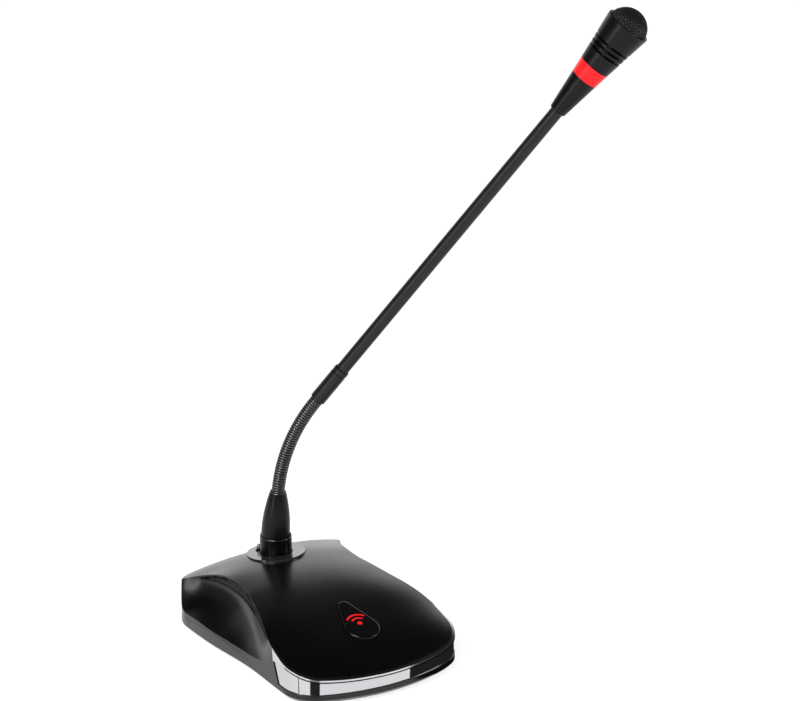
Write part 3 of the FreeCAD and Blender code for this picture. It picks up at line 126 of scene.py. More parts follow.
def make_grain_group():
    """Moulded or sprayed surface: fine grain for bump, with slow and fine changes of gloss."""
    tree = bpy.data.node_groups.new("surface grain", "ShaderNodeTree")
    group_socket(tree, "Scale", "INPUT", "NodeSocketFloat", 1500.0)
    group_socket(tree, "Roughness", "INPUT", "NodeSocketFloat", 0.4)
    group_socket(tree, "Variation", "INPUT", "NodeSocketFloat", 0.08)
    group_socket(tree, "Bump", "INPUT", "NodeSocketFloat", 0.1)
    group_socket(tree, "Roughness", "OUTPUT", "NodeSocketFloat")
    group_socket(tree, "Mask", "OUTPUT", "NodeSocketFloat")
    group_socket(tree, "Normal", "OUTPUT", "NodeSocketVector")
    inside = add_node(tree, "NodeGroupInput")
    outside = add_node(tree, "NodeGroupOutput")
    place = add_node(tree, "ShaderNodeTexCoord")
    grain = add_node(tree, "ShaderNodeTexNoise")
    grain.inputs["Detail"].default_value = 3.0
    link(tree, place.outputs["Object"], grain.inputs["Vector"])
    link(tree, inside.outputs["Scale"], grain.inputs["Scale"])
    slow = add_node(tree, "ShaderNodeTexNoise")
    slow.inputs["Scale"].default_value = 45.0
    slow.inputs["Detail"].default_value = 4.0
    link(tree, place.outputs["Object"], slow.inputs["Vector"])
    both = add_node(tree, "ShaderNodeMix", data_type="FLOAT")
    both.inputs["Factor"].default_value = 0.35
    link(tree, slow.outputs["Fac"], both.inputs["A"])
    link(tree, grain.outputs["Fac"], both.inputs["B"])
    centred = add_node(tree, "ShaderNodeMath", operation="SUBTRACT")
    centred.inputs[1].default_value = 0.5
    link(tree, both.outputs["Result"], centred.inputs[0])
    scaled = add_node(tree, "ShaderNodeMath", operation="MULTIPLY_ADD", use_clamp=True)
    link(tree, centred.outputs[0], scaled.inputs[0])
    link(tree, inside.outputs["Variation"], scaled.inputs[1])
    link(tree, inside.outputs["Roughness"], scaled.inputs[2])
    bump = add_node(tree, "ShaderNodeBump")
    bump.inputs["Distance"].default_value = 0.00008
    link(tree, inside.outputs["Bump"], bump.inputs["Strength"])
    link(tree, grain.outputs["Fac"], bump.inputs["Height"])
    link(tree, scaled.outputs[0], outside.inputs["Roughness"])
    link(tree, both.outputs["Result"], outside.inputs["Mask"])
    link(tree, bump.outputs["Normal"], outside.inputs["Normal"])
    return tree


GRAIN = make_grain_group()


def finish_of(name, colour, darker, roughness, variation=0.1, scale=1500.0, bump=0.1, **plain):
    """Principled material whose colour and gloss vary with the grain group."""
    material = bpy.data.materials.new(name)
    material.use_nodes = True
    tree = material.node_tree
    shader = tree.nodes["Principled BSDF"]
    grain = add_node(tree, "ShaderNodeGroup", node_tree=GRAIN)
    grain.inputs["Scale"].default_value = scale
    grain.inputs["Roughness"].default_value = roughness
    grain.inputs["Variation"].default_value = variation
    grain.inputs["Bump"].default_value = bump
    tint = add_node(tree, "ShaderNodeMix", data_type="RGBA")
    tint.inputs["A"].default_value = (*darker, 1)
    tint.inputs["B"].default_value = (*colour, 1)
    link(tree, grain.outputs["Mask"], tint.inputs["Factor"])
    link(tree, tint.outputs["Result"], shader.inputs["Base Color"])
    link(tree, grain.outputs["Roughness"], shader.inputs["Roughness"])
    link(tree, grain.outputs["Normal"], shader.inputs["Normal"])
    for socket, value in plain.items():
        shader.inputs[socket.replace("_", " ")].default_value = value
    return material


CASING = finish_of("casing satin", (0.006, 0.0055, 0.006), (0.004, 0.0035, 0.004), 0.26,
                   variation=0.05, scale=2600, bump=0.05, Specular_IOR_Level=0.3,
                   Coat_Weight=0.6, Coat_Roughness=0.22)
TRAY = finish_of("tray satin", (0.010, 0.0095, 0.010), (0.006, 0.006, 0.006), 0.36,
                 variation=0.08, scale=2200, bump=0.08, Coat_Weight=0.7, Coat_Roughness=0.32)
GLOSS = finish_of("polished trim", (0.80, 0.80, 0.82), (0.74, 0.74, 0.76), 0.05,
                  variation=0.02, scale=900, bump=0.0, Metallic=1.0)
BRIGHT = finish_of("bright line", (0.86, 0.86, 0.88), (0.75, 0.75, 0.77), 0.2,
                   variation=0.1, bump=0.02, Metallic=1.0)
PERFORATED = finish_of("perforated band", (0.11, 0.108, 0.11), (0.06, 0.06, 0.06), 0.34,
                       variation=0.1, bump=0.1, Metallic=0.5)
# Lighter metal for rings put on the plug's edges to stand in for their highlights; their shine is
# rendered.
HIGHLIGHT_RIM = finish_of("polished rim standing in for edge highlight", (0.42, 0.42, 0.43), (0.3, 0.3, 0.31), 0.16,
                variation=0.05, bump=0.02, Metallic=1.0)
# Near-black finish that paints shade: behind the bands' holes, behind the vent slots, and as the
# shadow line under the bright line.
PAINTED_SHADE = finish_of("painted shade behind holes", (0.002, 0.002, 0.002), (0.001, 0.001, 0.001), 0.9, bump=0.3,
                Specular_IOR_Level=0.1)
DISC = finish_of("collar disc", (0.16, 0.16, 0.162), (0.12, 0.12, 0.122), 0.16,
                 variation=0.05, scale=2400, bump=0.02, Metallic=0.7, Coat_Weight=0.6)
PLUG = finish_of("plug barrel", (0.005, 0.005, 0.005), (0.003, 0.003, 0.003), 0.24,
                 variation=0.06, scale=2000, bump=0.04, Specular_IOR_Level=0.22)
BOOT = finish_of("boot", (0.005, 0.005, 0.005), (0.003, 0.003, 0.003), 0.30,
                 variation=0.08, scale=1800, bump=0.1, Specular_IOR_Level=0.28)
FLEX = finish_of("neck coil", (0.20, 0.20, 0.203), (0.11, 0.11, 0.11), 0.22,
                 variation=0.1, scale=1500, bump=0.05, Metallic=0.8)
TUBE = finish_of("stem enamel", (0.006, 0.006, 0.0065), (0.004, 0.004, 0.004), 0.38,
                 variation=0.06, scale=2400, bump=0.06, Specular_IOR_Level=0.55)
HEAD = finish_of("head paint", (0.004, 0.004, 0.0045), (0.003, 0.003, 0.003), 0.31,
                 variation=0.08, scale=2400, bump=0.1, Specular_IOR_Level=0.28)
WIRE = finish_of("dome wire", (0.10, 0.10, 0.102), (0.05, 0.05, 0.05), 0.3,
                 variation=0.1, scale=2400, bump=0.05, Metallic=0.8)
FOAM = finish_of("foam", (0.012, 0.012, 0.012), (0.002, 0.002, 0.002), 0.95,
                 variation=0.05, scale=2600, bump=1.0)
BUTTON = finish_of("button gloss", (0.008, 0.007, 0.008), (0.005, 0.005, 0.005), 0.22,
                   variation=0.04, scale=2000, bump=0.02)
RUBBER = finish_of("rubber", (0.018, 0.018, 0.018), (0.01, 0.01, 0.01), 0.65,
                   variation=0.15, scale=1200, bump=0.4)
BLACK = finish_of("moulded black", (0.02, 0.02, 0.02), (0.012, 0.012, 0.012), 0.45,
                  variation=0.1, bump=0.2)
STEEL = finish_of("zinc steel", (0.62, 0.62, 0.64), (0.45, 0.45, 0.47), 0.32,
                  variation=0.2, scale=1200, bump=0.1, Metallic=1.0)
CAST = finish_of("phosphated plate", (0.12, 0.12, 0.125), (0.06, 0.06, 0.065), 0.6,
                 variation=0.2, scale=700, bump=0.5, Metallic=0.7)
BRASS = finish_of("brass", (0.76, 0.58, 0.27), (0.6, 0.43, 0.18), 0.28,
                  variation=0.15, bump=0.05, Metallic=1.0)
BOARD = finish_of("board lacquer", (0.03, 0.2, 0.08), (0.015, 0.11, 0.045), 0.35,
                  variation=0.1, scale=500, bump=0.2)
ALUMINIUM = finish_of("aluminium", (0.75, 0.75, 0.76), (0.6, 0.6, 0.62), 0.3,
                      variation=0.15, scale=1500, bump=0.05, Metallic=1.0)
RING = finish_of("lit ring", (0.80, 0.012, 0.016), (0.68, 0.008, 0.012), 0.3,
                 variation=0.05, scale=1200, bump=0.02, Specular_IOR_Level=0.3,
                 Emission_Color=(1.0, 0.02, 0.025, 1), Emission_Strength=0.62)
SYMBOL = finish_of("lit symbol", (0.9, 0.02, 0.02), (0.8, 0.01, 0.01), 0.3,
                   variation=0.05, bump=0.02,
                   Emission_Color=(1.0, 0.01, 0.012, 1), Emission_Strength=0.6)
LED = finish_of("led", (0.9, 0.4, 0.4), (0.8, 0.3, 0.3), 0.2, variation=0.05, bump=0.0,
                Emission_Color=(1.0, 0.05, 0.05, 1), Emission_Strength=0.5)

NODE_FINISH = {
    CASING: ("top_cover",),
    TRAY: ("bottom_shell",),
    GLOSS: ("front_trim",),
    BRIGHT: ("trim_strip",),
    DISC: ("collar_disc",),
    PLUG: ("plug_barrel", "release_latch"),
    BOOT: ("plug_boot",),
    TUBE: ("ferrule", "stem_tube"),
    HEAD: ("head_lower_cone", "head_upper_cone", "grille_rim"),
    FOAM: ("windscreen_foam",),
    BUTTON: ("talk_button",),
    SYMBOL: ("button_symbol",),
    RING: ("light_ring",),
    LED: ("ring_leds",),
    RUBBER: ("rubber_feet", "rear_outlet", "capsule_holder", "stem_cable"),
    BLACK: ("stem_socket", "socket_insert", "plug_insulator", "button_guide", "tact_switch",
            "switch_plunger", "board_parts"),
    STEEL: ("socket_screws", "case_screws", "board_screws", "latch_spring", "speaker_brackets"),
    CAST: ("ballast_plate", "speaker_left", "speaker_right"),
    BRASS: ("socket_contacts", "plug_pins", "board_standoffs"),
    BOARD: ("switch_board", "main_board", "led_board"),
    ALUMINIUM: ("capsule",),
    # The bands are painted near black, as the shade seen through their holes.
    PAINTED_SHADE: ("grille_left", "grille_right"),
    WIRE: ("grille_dome",),
    FLEX: ("flex_base", *["flex_link_%d" % (index + 1) for index in range(LINKS)]),
}


def paint_nodes():
    """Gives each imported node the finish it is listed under."""
    for material, names in NODE_FINISH.items():
        for name in names:
            mesh = frame["nodes"][name].data
            mesh.materials.clear()
            mesh.materials.append(material)


# ------------------------------------------------------------------ line of the neck
def leaning(lean):
    """Unit vector at an angle from the vertical, towards the stem's heading."""
    return HEADING * math.sin(lean) + UP * math.cos(lean)


BOOT_TIP = HINGES[0] - leaning(BOOT_LEAN) * (PITCH / 2)


def neck_frame(run):
    """Frame on the neck's arc at a distance above the boot, straight on beyond both ends."""
    inside = min(max(run, 0.0), FLEX_LENGTH)
    rate = (STEM_LEAN - BOOT_LEAN) / FLEX_LENGTH
    lean = BOOT_LEAN + rate * inside
    aside = (math.cos(BOOT_LEAN) - math.cos(lean)) / rate
    rise = (math.sin(lean) - math.sin(BOOT_LEAN)) / rate
    axis = leaning(lean)
    return frame_on(BOOT_TIP + HEADING * aside + UP * rise + axis * (run - inside), axis)


# ------------------------------------------------------------------ mesh tools
def finish_mesh(shape, name, material, smooth=40.0):
    """Object of a bmesh, shaded smooth up to an angle, at the origin."""
    mesh = bpy.data.meshes.new(name)
    shape.to_mesh(mesh)
    shape.free()
    mesh.materials.append(material)
    mesh.shade_smooth()
    mesh.set_sharp_from_angle(angle=math.radians(smooth))
    piece = bpy.data.objects.new(name, mesh)
    bpy.context.scene.collection.objects.link(piece)
    return piece


def turned(outline, segments):
    """Bmesh of revolution about Z from a closed outline of radius and height pairs."""
    shape = bmesh.new()
    points = [shape.verts.new((radius, 0, height)) for radius, height in outline]
    edges = [shape.edges.new(pair) for pair in zip(points, points[1:] + points[:1])]
    bmesh.ops.spin(shape, geom=points + edges, axis=(0, 0, 1), cent=(0, 0, 0),
                   steps=segments, angle=math.tau, use_merge=True, use_duplicate=False)
    bmesh.ops.remove_doubles(shape, verts=shape.verts, dist=1e-7)
    bmesh.ops.recalc_face_normals(shape, faces=shape.faces)
    return shape


def ring_outline(radius, wire, steps):
    """Round section of a wire ring, from its top: radius and height pairs."""
    angles = [math.tau * step / steps for step in range(steps)]
    return [(radius + wire * math.sin(angle), wire * math.cos(angle)) for angle in angles]


def wire_mesh(name, lines, radius, resolution):
    """Mesh of round wires, one along each list of points."""
    curve = bpy.data.curves.new(name, "CURVE")
    curve.dimensions = "3D"
    curve.bevel_depth = radius
    curve.bevel_resolution = resolution
    curve.use_fill_caps = True
    for points in lines:
        spline = curve.splines.new("POLY")
        spline.points.add(len(points) - 1)
        for point, place in zip(spline.points, points):
            point.co = (*place, 1)
    source = bpy.data.objects.new(name, curve)
    bpy.context.scene.collection.objects.link(source)
    mesh = bpy.data.meshes.new_from_object(source.evaluated_get(
        bpy.context.evaluated_depsgraph_get()))
    bpy.data.objects.remove(source)
    return mesh


def wire_piece(mesh, name, material):
    """Object of a wire mesh, smooth all over, at the origin."""
    mesh.name = name
    mesh.materials.clear()
    mesh.materials.append(material)
    mesh.shade_smooth()
    piece = bpy.data.objects.new(name, mesh)
    bpy.context.scene.collection.objects.link(piece)
    return piece


def surface_tree(mesh):
    """Search tree of a mesh, for finding its surface along a line."""
    shape = bmesh.new()
    shape.from_mesh(mesh)
    tree = BVHTree.FromBMesh(shape)
    shape.free()
    return tree


# ------------------------------------------------------------------ neck
RIBS = 5                       # coil turns between two neighbouring hinges
RIB_DEPTH = 0.85 * MM
RIB_STEPS = 8                  # outline points on one turn
SKIN_WALL = 0.9 * MM
SKIN_SEGMENTS = 40
SKIN_FOOT = 3 * MM             # length of the skin inside the boot
SKIN_TAIL = 2 * MM             # length of the skin inside the ferrule


def coil_radius(run):
    """Outside of the coil: round turns with narrow valleys."""
    turn = (run / PITCH * RIBS) % 1.0
    return FLEX_RADIUS - RIB_DEPTH * (1 - math.sqrt(max(0, 1 - (2 * turn - 1) ** 2)))


def make_neck():
    """Ribbed skin in eight lengths along the neck's arc, one round each hinge."""
    count = RIBS * RIB_STEPS
    for index in range(LINKS):
        low = PITCH * index
        steps = [low + PITCH * step / count for step in range(count + 1)]
        outer = [(coil_radius(run), run) for run in steps]
        inner = [(FLEX_RADIUS - SKIN_WALL, steps[-1]), (FLEX_RADIUS - SKIN_WALL, steps[0])]
        if index == 0:
            outer.insert(0, (FLEX_RADIUS, -SKIN_FOOT))
            inner[1] = (FLEX_RADIUS - SKIN_WALL, -SKIN_FOOT)
        if index == LINKS - 1:
            step = PITCH / count
            extra = int((FERRULE_START + SKIN_TAIL) / step)
            tail = [steps[-1] + step * (number + 1) for number in range(extra)]
            outer += [(coil_radius(run), run) for run in tail]
            inner[0] = (FLEX_RADIUS - SKIN_WALL, tail[-1])
        shape = turned(outer + inner, SKIN_SEGMENTS)
        for vertex in shape.verts:
            flat = Vector((vertex.co.x, vertex.co.y, 0))
            vertex.co = neck_frame(vertex.co.z) @ flat
        skin = finish_mesh(shape, "neck_coil_%d" % (index + 1), FLEX, 50)
        along = (neck_frame(low + PITCH).to_translation()
                 - neck_frame(low).to_translation()).normalized()
        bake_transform(skin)
        nodes = ["flex_link_%d" % (index + 1)]
        if index == 0:
            nodes.append("flex_base")
        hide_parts(*nodes)


# ------------------------------------------------------------------ dome
WEAVE = 1.72 * MM              # between two wires
WEAVE_WIRE = 0.33 * MM         # radius
WEAVE_LIFT = 0.24 * MM         # how far a wire rises over the one it crosses
WEAVE_STEPS = 4                # points between two crossings
DOME_SKIRT = 0.8 * MM          # how far the cloth's edge stands above the foot of the rim
DOME_STEPS = 60


def dome_arc():
    """Running length from the crown, radius and height along the dome's side."""
    rows = [(0.0, 0.0, DOME_HEIGHT)]
    for step in range(1, DOME_STEPS + 1):
        angle = math.pi / 2 * (1 - step / DOME_STEPS)
        radius = (DOME_RADIUS - WEAVE_WIRE - WEAVE_LIFT) * math.cos(angle)
        height = (DOME_HEIGHT - WEAVE_WIRE - WEAVE_LIFT) * math.sin(angle)
        last = rows[-1]
        rows.append((last[0] + math.hypot(radius - last[1], height - last[2]), radius, height))
    return rows


DOME_ARC = dome_arc()
DOME_RUN = DOME_ARC[-1][0]


def dome_point(u, v, lift):
    """Point of the dome for a place on the flat cloth it is pressed from."""
    run = min(math.hypot(u, v), DOME_RUN)
    for low, high in zip(DOME_ARC, DOME_ARC[1:]):
        if run <= high[0]:
            break
    share = (run - low[0]) / (high[0] - low[0])
    radius = low[1] + (high[1] - low[1]) * share
    height = low[2] + (high[2] - low[2]) * share
    turn = math.atan2(v, u)
    normal = Vector((radius / DOME_RADIUS ** 2, height / DOME_HEIGHT ** 2)).normalized()
    radius += normal.x * lift
    height += normal.y * lift
    return Vector((radius * math.cos(turn), radius * math.sin(turn), height))


def weave_wire(row, across):
    """Points of one wire, which goes over and under the wires it crosses."""
    fixed = row * WEAVE
    half = math.sqrt(max(DOME_RUN ** 2 - fixed ** 2, 0))
    steps = max(WEAVE_STEPS, int(WEAVE_STEPS * half / WEAVE))
    points = []
    for step in range(steps + 1):
        free = -half + 2 * half * step / steps
        wave = math.cos(math.pi * free / WEAVE + math.pi * (row + across))
        pair = (free, fixed) if across else (fixed, free)
        points.append(dome_point(*pair, WEAVE_LIFT * wave))
    return points


def make_dome():
    """Woven wire cloth pressed to a dome."""
    rows = int(DOME_RUN / WEAVE)
    wires = [weave_wire(row, across) for across in (False, True) for row in range(-rows, rows + 1)]
    mesh = wire_mesh("weave", wires, WEAVE_WIRE, 1)
    mesh.transform(on_stem(HEAD_START + RING_LOW + RING_LENGTH + CONE_LENGTH
                           - RIM_HEIGHT + DOME_SKIRT))
    dome = wire_piece(mesh, "woven_dome", WIRE)
    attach(dome, "stem")
    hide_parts("grille_dome")


# ------------------------------------------------------------------ vent sleeve, painted as shade
CONE_LOW_RADIUS = 9.95 * MM
CONE_HIGH_RADIUS = 14.45 * MM
CONE_WALL = 1.3 * MM
LINER_GAP = 0.2 * MM
LINER_WALL = 0.5 * MM
LINER_SPAN = (0.12, 0.8)       # its ends, as shares of the upper cone
LINER_SEGMENTS = 64


def make_liner():
    """Sleeve inside the upper cone that closes the view through its vent slots, in a near-black
    finish that paints the shade inside them.
    """
    outline = []
    for share in LINER_SPAN:
        radius = CONE_LOW_RADIUS + (CONE_HIGH_RADIUS - CONE_LOW_RADIUS) * share
        outline.append((radius - CONE_WALL - LINER_GAP, CONE_LENGTH * share))
    outline += [(radius - LINER_WALL, height) for radius, height in outline[::-1]]
    shape = turned(outline, LINER_SEGMENTS)
    place = on_stem(HEAD_START + RING_LOW + RING_LENGTH)
    bmesh.ops.transform(shape, matrix=place, verts=shape.verts)
    # Near black: painted shade behind the slots.
    liner = finish_mesh(shape, "vent_sleeve", PAINTED_SHADE)
    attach(liner, "stem")


# ------------------------------------------------------------------ perforated bands
HOLE_PITCH = 1.9 * MM
HOLE_MARGIN = 0.42 * MM        # half the metal left between two holes
SHEET_RISE = 0.12 * MM
BAND_START = 0.2               # metres beside the middle, where the search for the band starts
BAND_FACING = 0.08             # least sideways slope of a face that takes the sheet


def make_band(side, sign):
    """Perforated sheet laid on a band's outer face, with real holes over the band itself, which is
    painted near black as the shade inside the holes.
    """
    node = "grille_" + side
    tree = surface_tree(frame["nodes"][node].data)
    low, high = (Vector(corner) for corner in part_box(node))
    middle = (low + high) / 2
    rows = math.ceil((high.z - low.z) / HOLE_PITCH) + 1
    columns = math.ceil((high.y - low.y) / HOLE_PITCH) + 1
    shape = bmesh.new()
    bmesh.ops.create_grid(shape, x_segments=columns, y_segments=rows, size=0.5)
    for vertex in shape.verts:
        across, up = vertex.co.x, vertex.co.y
        vertex.co = (sign * BAND_START, middle.y + across * columns * HOLE_PITCH,
                     middle.z + up * rows * HOLE_PITCH)
    cells = shape.faces[:]
    bmesh.ops.inset_individual(shape, faces=cells, thickness=HOLE_MARGIN, use_even_offset=True)
    bmesh.ops.delete(shape, geom=cells, context="FACES_ONLY")
    lost = []
    for vertex in shape.verts:
        hit, normal, _, _ = tree.ray_cast(vertex.co, Vector((-sign, 0, 0)))
        if hit is None or normal.x * sign < BAND_FACING:
            lost.append(vertex)
        else:
            vertex.co = hit
    bmesh.ops.delete(shape, geom=lost, context="VERTS")
    bare = [vertex for vertex in shape.verts if not vertex.link_faces]
    bmesh.ops.delete(shape, geom=bare, context="VERTS")
    bmesh.ops.recalc_face_normals(shape, faces=shape.faces)
    if sum(face.normal.x for face in shape.faces) * sign < 0:
        bmesh.ops.reverse_faces(shape, faces=shape.faces[:])
    sheet = finish_mesh(shape, "perforated_" + side, PERFORATED, 60)
    rounding = sheet.modifiers.new("rounded holes", "SUBSURF")
    rounding.levels = rounding.render_levels = 1
    wall = sheet.modifiers.new("sheet", "SOLIDIFY")
    wall.thickness = SHEET_RISE
    wall.offset = 1.0
    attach(sheet, "base")


# ------------------------------------------------------------------ polished rims, lighter than the plug as edge highlights
RIM_WIRE = 0.26 * MM           # radius
RIM_IN = 1.1 * RIM_WIRE        # middle of the wire inside the edge
RIM_SUNK = 0.4 * RIM_WIRE      # middle of the wire below the edge
BARREL_RADIUS = 10.2 * MM
BOOT_LIP = 2.1 * MM            # how far the boot reaches up round the flexible section


def make_rim(name, radius, place):
    """Thin polished metal ring on an upper edge of the plug, lighter than the black plug so that it
    stands in for the highlight on that edge; its shine is rendered.
    """
    shape = turned(ring_outline(radius - RIM_IN, RIM_WIRE, 10), 96)
    bmesh.ops.transform(shape, matrix=place, verts=shape.verts)
    ring = finish_mesh(shape, name, HIGHLIGHT_RIM, 60)
    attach(ring, "plug")


def make_rims():
    """Rings on the barrel's top and on the boot's tip."""
    middle = Vector((0, COLLAR_Y, BARREL_TOP - RIM_SUNK))
    make_rim("barrel_rim", BARREL_RADIUS, Matrix.Translation(middle))
    lean = leaning(BOOT_LEAN)
    make_rim("boot_rim", BOOT_TIP_RADIUS, frame_on(BOOT_TIP + lean * (BOOT_LIP - RIM_SUNK), lean))


# ------------------------------------------------------------------ painted shadow line under the bright line
BOW_RADIUS = 120 * MM
CORNER_RADIUS = 24 * MM
FRONT_HALF = 60 * MM
# Black line that paints the shadow under the bright line's step: its radius, place and run.
SHADOW_LINE = 0.55 * MM             # radius
SHADOW_LINE_IN = 0.8 * SHADOW_LINE       # its middle inside the front's outline
SHADOW_LINE_DOWN = 0.9 * SHADOW_LINE     # its middle below the bright line's foot
SHADOW_LINE_SWEEP = math.radians(86)
SHADOW_LINE_TURNS = 64              # points on each side of the middle
SEARCH_LOW = 10 * MM           # where the search for the bright line's foot starts
SEARCH_STEP = 0.1 * MM
SEARCH_STEPS = 240
SEARCH_OUT = 5 * MM            # start of the search lines outside the outline
SEARCH_REACH = 7 * MM


def front_outline(turn):
    """Place on the front's plan outline where it faces an angle from straight ahead, and that way."""
    facing = Vector((math.sin(turn), -math.cos(turn), 0))
    bow_centre = Vector((0, BASE_FRONT + BOW_RADIUS, 0))
    corner_x = FRONT_HALF - CORNER_RADIUS
    drop = math.sqrt((BOW_RADIUS - CORNER_RADIUS) ** 2 - corner_x ** 2)
    if abs(turn) <= math.atan2(corner_x, drop):
        return bow_centre + facing * BOW_RADIUS, facing
    corner = Vector((math.copysign(corner_x, turn), bow_centre.y - drop, 0))
    return corner + facing * CORNER_RADIUS, facing


def strip_foot(tree, place, facing):
    """Height of the bright line's lower edge where it faces a direction, or None."""
    for step in range(SEARCH_STEPS):
        level = SEARCH_LOW + SEARCH_STEP * step
        start = place + facing * SEARCH_OUT + UP * level
        if tree.ray_cast(start, -facing, SEARCH_REACH)[0] is not None:
            return level
    return None


def make_shadow_line():
    """Black line of painted shadow in the groove between the bright line and the polished band."""
    tree = surface_tree(frame["nodes"]["trim_strip"].data)
    points = []
    for index in range(-SHADOW_LINE_TURNS, SHADOW_LINE_TURNS + 1):
        place, facing = front_outline(SHADOW_LINE_SWEEP * index / SHADOW_LINE_TURNS)
        foot = strip_foot(tree, place, facing)
        if foot is not None:
            points.append(place - facing * SHADOW_LINE_IN + UP * (foot - SHADOW_LINE_DOWN))
    shadow_line = wire_piece(wire_mesh("shadow_line", [points], SHADOW_LINE, 2), "trim_shadow_line", PAINTED_SHADE)
    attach(shadow_line, "base")


# ------------------------------------------------------------------ latch
LOOP_RADIUS = 1.5 * MM
LOOP_WIRE = 0.32 * MM          # radius
LOOP_RISE = 1.3 * MM           # middle of the loop above the disc
LOOP_IN = 0.4 * MM             # middle of the loop nearer the barrel than the foot's
FOOT_DEPTH = 1.5 * MM
FOOT_WIDTH = 3.4 * MM
FOOT_BEVEL = 0.3 * MM


def make_latch():
    """Wire loop on a small foot that stands in the disc's slot, turned flat to the barrel."""
    low, high = (Vector(corner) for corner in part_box("release_latch"))
    middle = (low + high) / 2
    outward = Vector((middle.x, middle.y - COLLAR_Y, 0)).normalized()
    loop_height = BARREL_TOP - BARREL_ABOVE + LOOP_RISE
    loop = turned(ring_outline(LOOP_RADIUS, LOOP_WIRE, 12), 40)
    place = Vector((middle.x, middle.y, loop_height)) - outward * LOOP_IN
    bmesh.ops.transform(loop, matrix=frame_on(place, outward), verts=loop.verts)
    ring = finish_mesh(loop, "latch_loop", PLUG)
    block = bmesh.new()
    bmesh.ops.create_cube(block, size=1.0)
    tall = loop_height - LOOP_RADIUS - low.z
    bmesh.ops.scale(block, vec=(FOOT_DEPTH, FOOT_WIDTH, tall), verts=block.verts)
    bmesh.ops.bevel(block, geom=block.edges[:], offset=FOOT_BEVEL, segments=3, profile=0.5,
                    affect="EDGES", material=-1)
    around = Matrix.Rotation(math.atan2(outward.y, outward.x), 4, "Z")
    at = Matrix.Translation((middle.x, middle.y, low.z + tall / 2))
    bmesh.ops.transform(block, matrix=at @ around, verts=block.verts)
    foot = finish_mesh(block, "latch_foot", PLUG)
    for piece in (ring, foot):
        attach(piece, "latch")
    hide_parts("release_latch")


# ------------------------------------------------------------------ camera
VIEW_AZIMUTH = math.radians(-31.97)
VIEW_ELEVATION = math.radians(20.82)
VIEW_DISTANCE = 2.3
DISC_TOP = 43.5 * MM           # height of the collar disc's middle
SENSOR = 36.0
LENS = 162.495
AIM_LEFT = math.radians(1.9668)   # how far to the left of the view's axis the disc stands
AIM_DOWN = math.radians(3.1781)   # how far below it


def make_camera():
    """Long lens from the front left, with the collar disc low and left in the view."""
    sin_a, cos_a = math.sin(VIEW_AZIMUTH), math.cos(VIEW_AZIMUTH)
    sin_e, cos_e = math.sin(VIEW_ELEVATION), math.cos(VIEW_ELEVATION)
    back = Vector((sin_a * cos_e, -cos_a * cos_e, sin_e))
    right = Vector((cos_a, sin_a, 0))
    up = Vector((-sin_a * sin_e, cos_a * sin_e, cos_e))
    disc = Vector((0, COLLAR_Y, DISC_TOP))
    aside = right * math.tan(AIM_LEFT) + up * math.tan(AIM_DOWN)
    data = bpy.data.cameras.new("camera")
    data.sensor_width = SENSOR
    data.lens = LENS
    data.clip_end = 50
    camera = bpy.data.objects.new("camera", data)
    bpy.context.scene.collection.objects.link(camera)
    turn = Matrix((right, up, back)).transposed().to_4x4()
    camera.matrix_world = Matrix.Translation(disc + (back + aside) * VIEW_DISTANCE) @ turn
    bpy.context.scene.camera = camera


# ------------------------------------------------------------------ light and floor
STUDIO_STRENGTH = 1.25
SKY_WHITE = 0.33               # studio is white below this height of a unit direction
SKY_DARK = 0.60                # and dark above this one
SKY_TOP = 0.03                 # brightness of the dark part
BACK_WAY = (0.53, 0.85, 0)     # towards the white backdrop
BACK_SPREAD = (0.45, 0.85)     # share of a direction that way: dark below the first, white above
BACK_DARK = 0.12               # brightness of the dark sides
FLOOR_RADIUS = 6.0             # metres
FLOOR_GREY = 0.86
FLOOR_GLOW = 0.82
FLOOR_GLOSS = 0.5
LAMP_TARGET = (0.05, 0.0, 0.15)
FLAG_GREY = 0.004
FLAG_LIFT = 0.4 * MM
FLAGS = {                      # corners on the floor, in millimetres
    "flag_right": ((24.5, -95.5), (45, -116), (210, -116), (70, -20)),
    "flag_corner": ((-64, -82), (-86, -101), (-62.5, -117), (-52, -90)),
    "flag_thin": ((-70, -68), (-100, -69), (-100, -67), (-70, -66.5)),
}


def soft_lamp(name, place, size, power, height=None):
    """Rectangular lamp turned towards the object."""
    data = bpy.data.lights.new(name, "AREA")
    data.shape = "RECTANGLE"
    data.size = size
    data.size_y = height or size
    data.energy = power
    lamp = bpy.data.objects.new(name, data)
    bpy.context.scene.collection.objects.link(lamp)
    way = Vector(LAMP_TARGET) - Vector(place)
    aim = way.to_track_quat("-Z", "Y").to_matrix().to_4x4()
    lamp.matrix_world = Matrix.Translation(place) @ aim


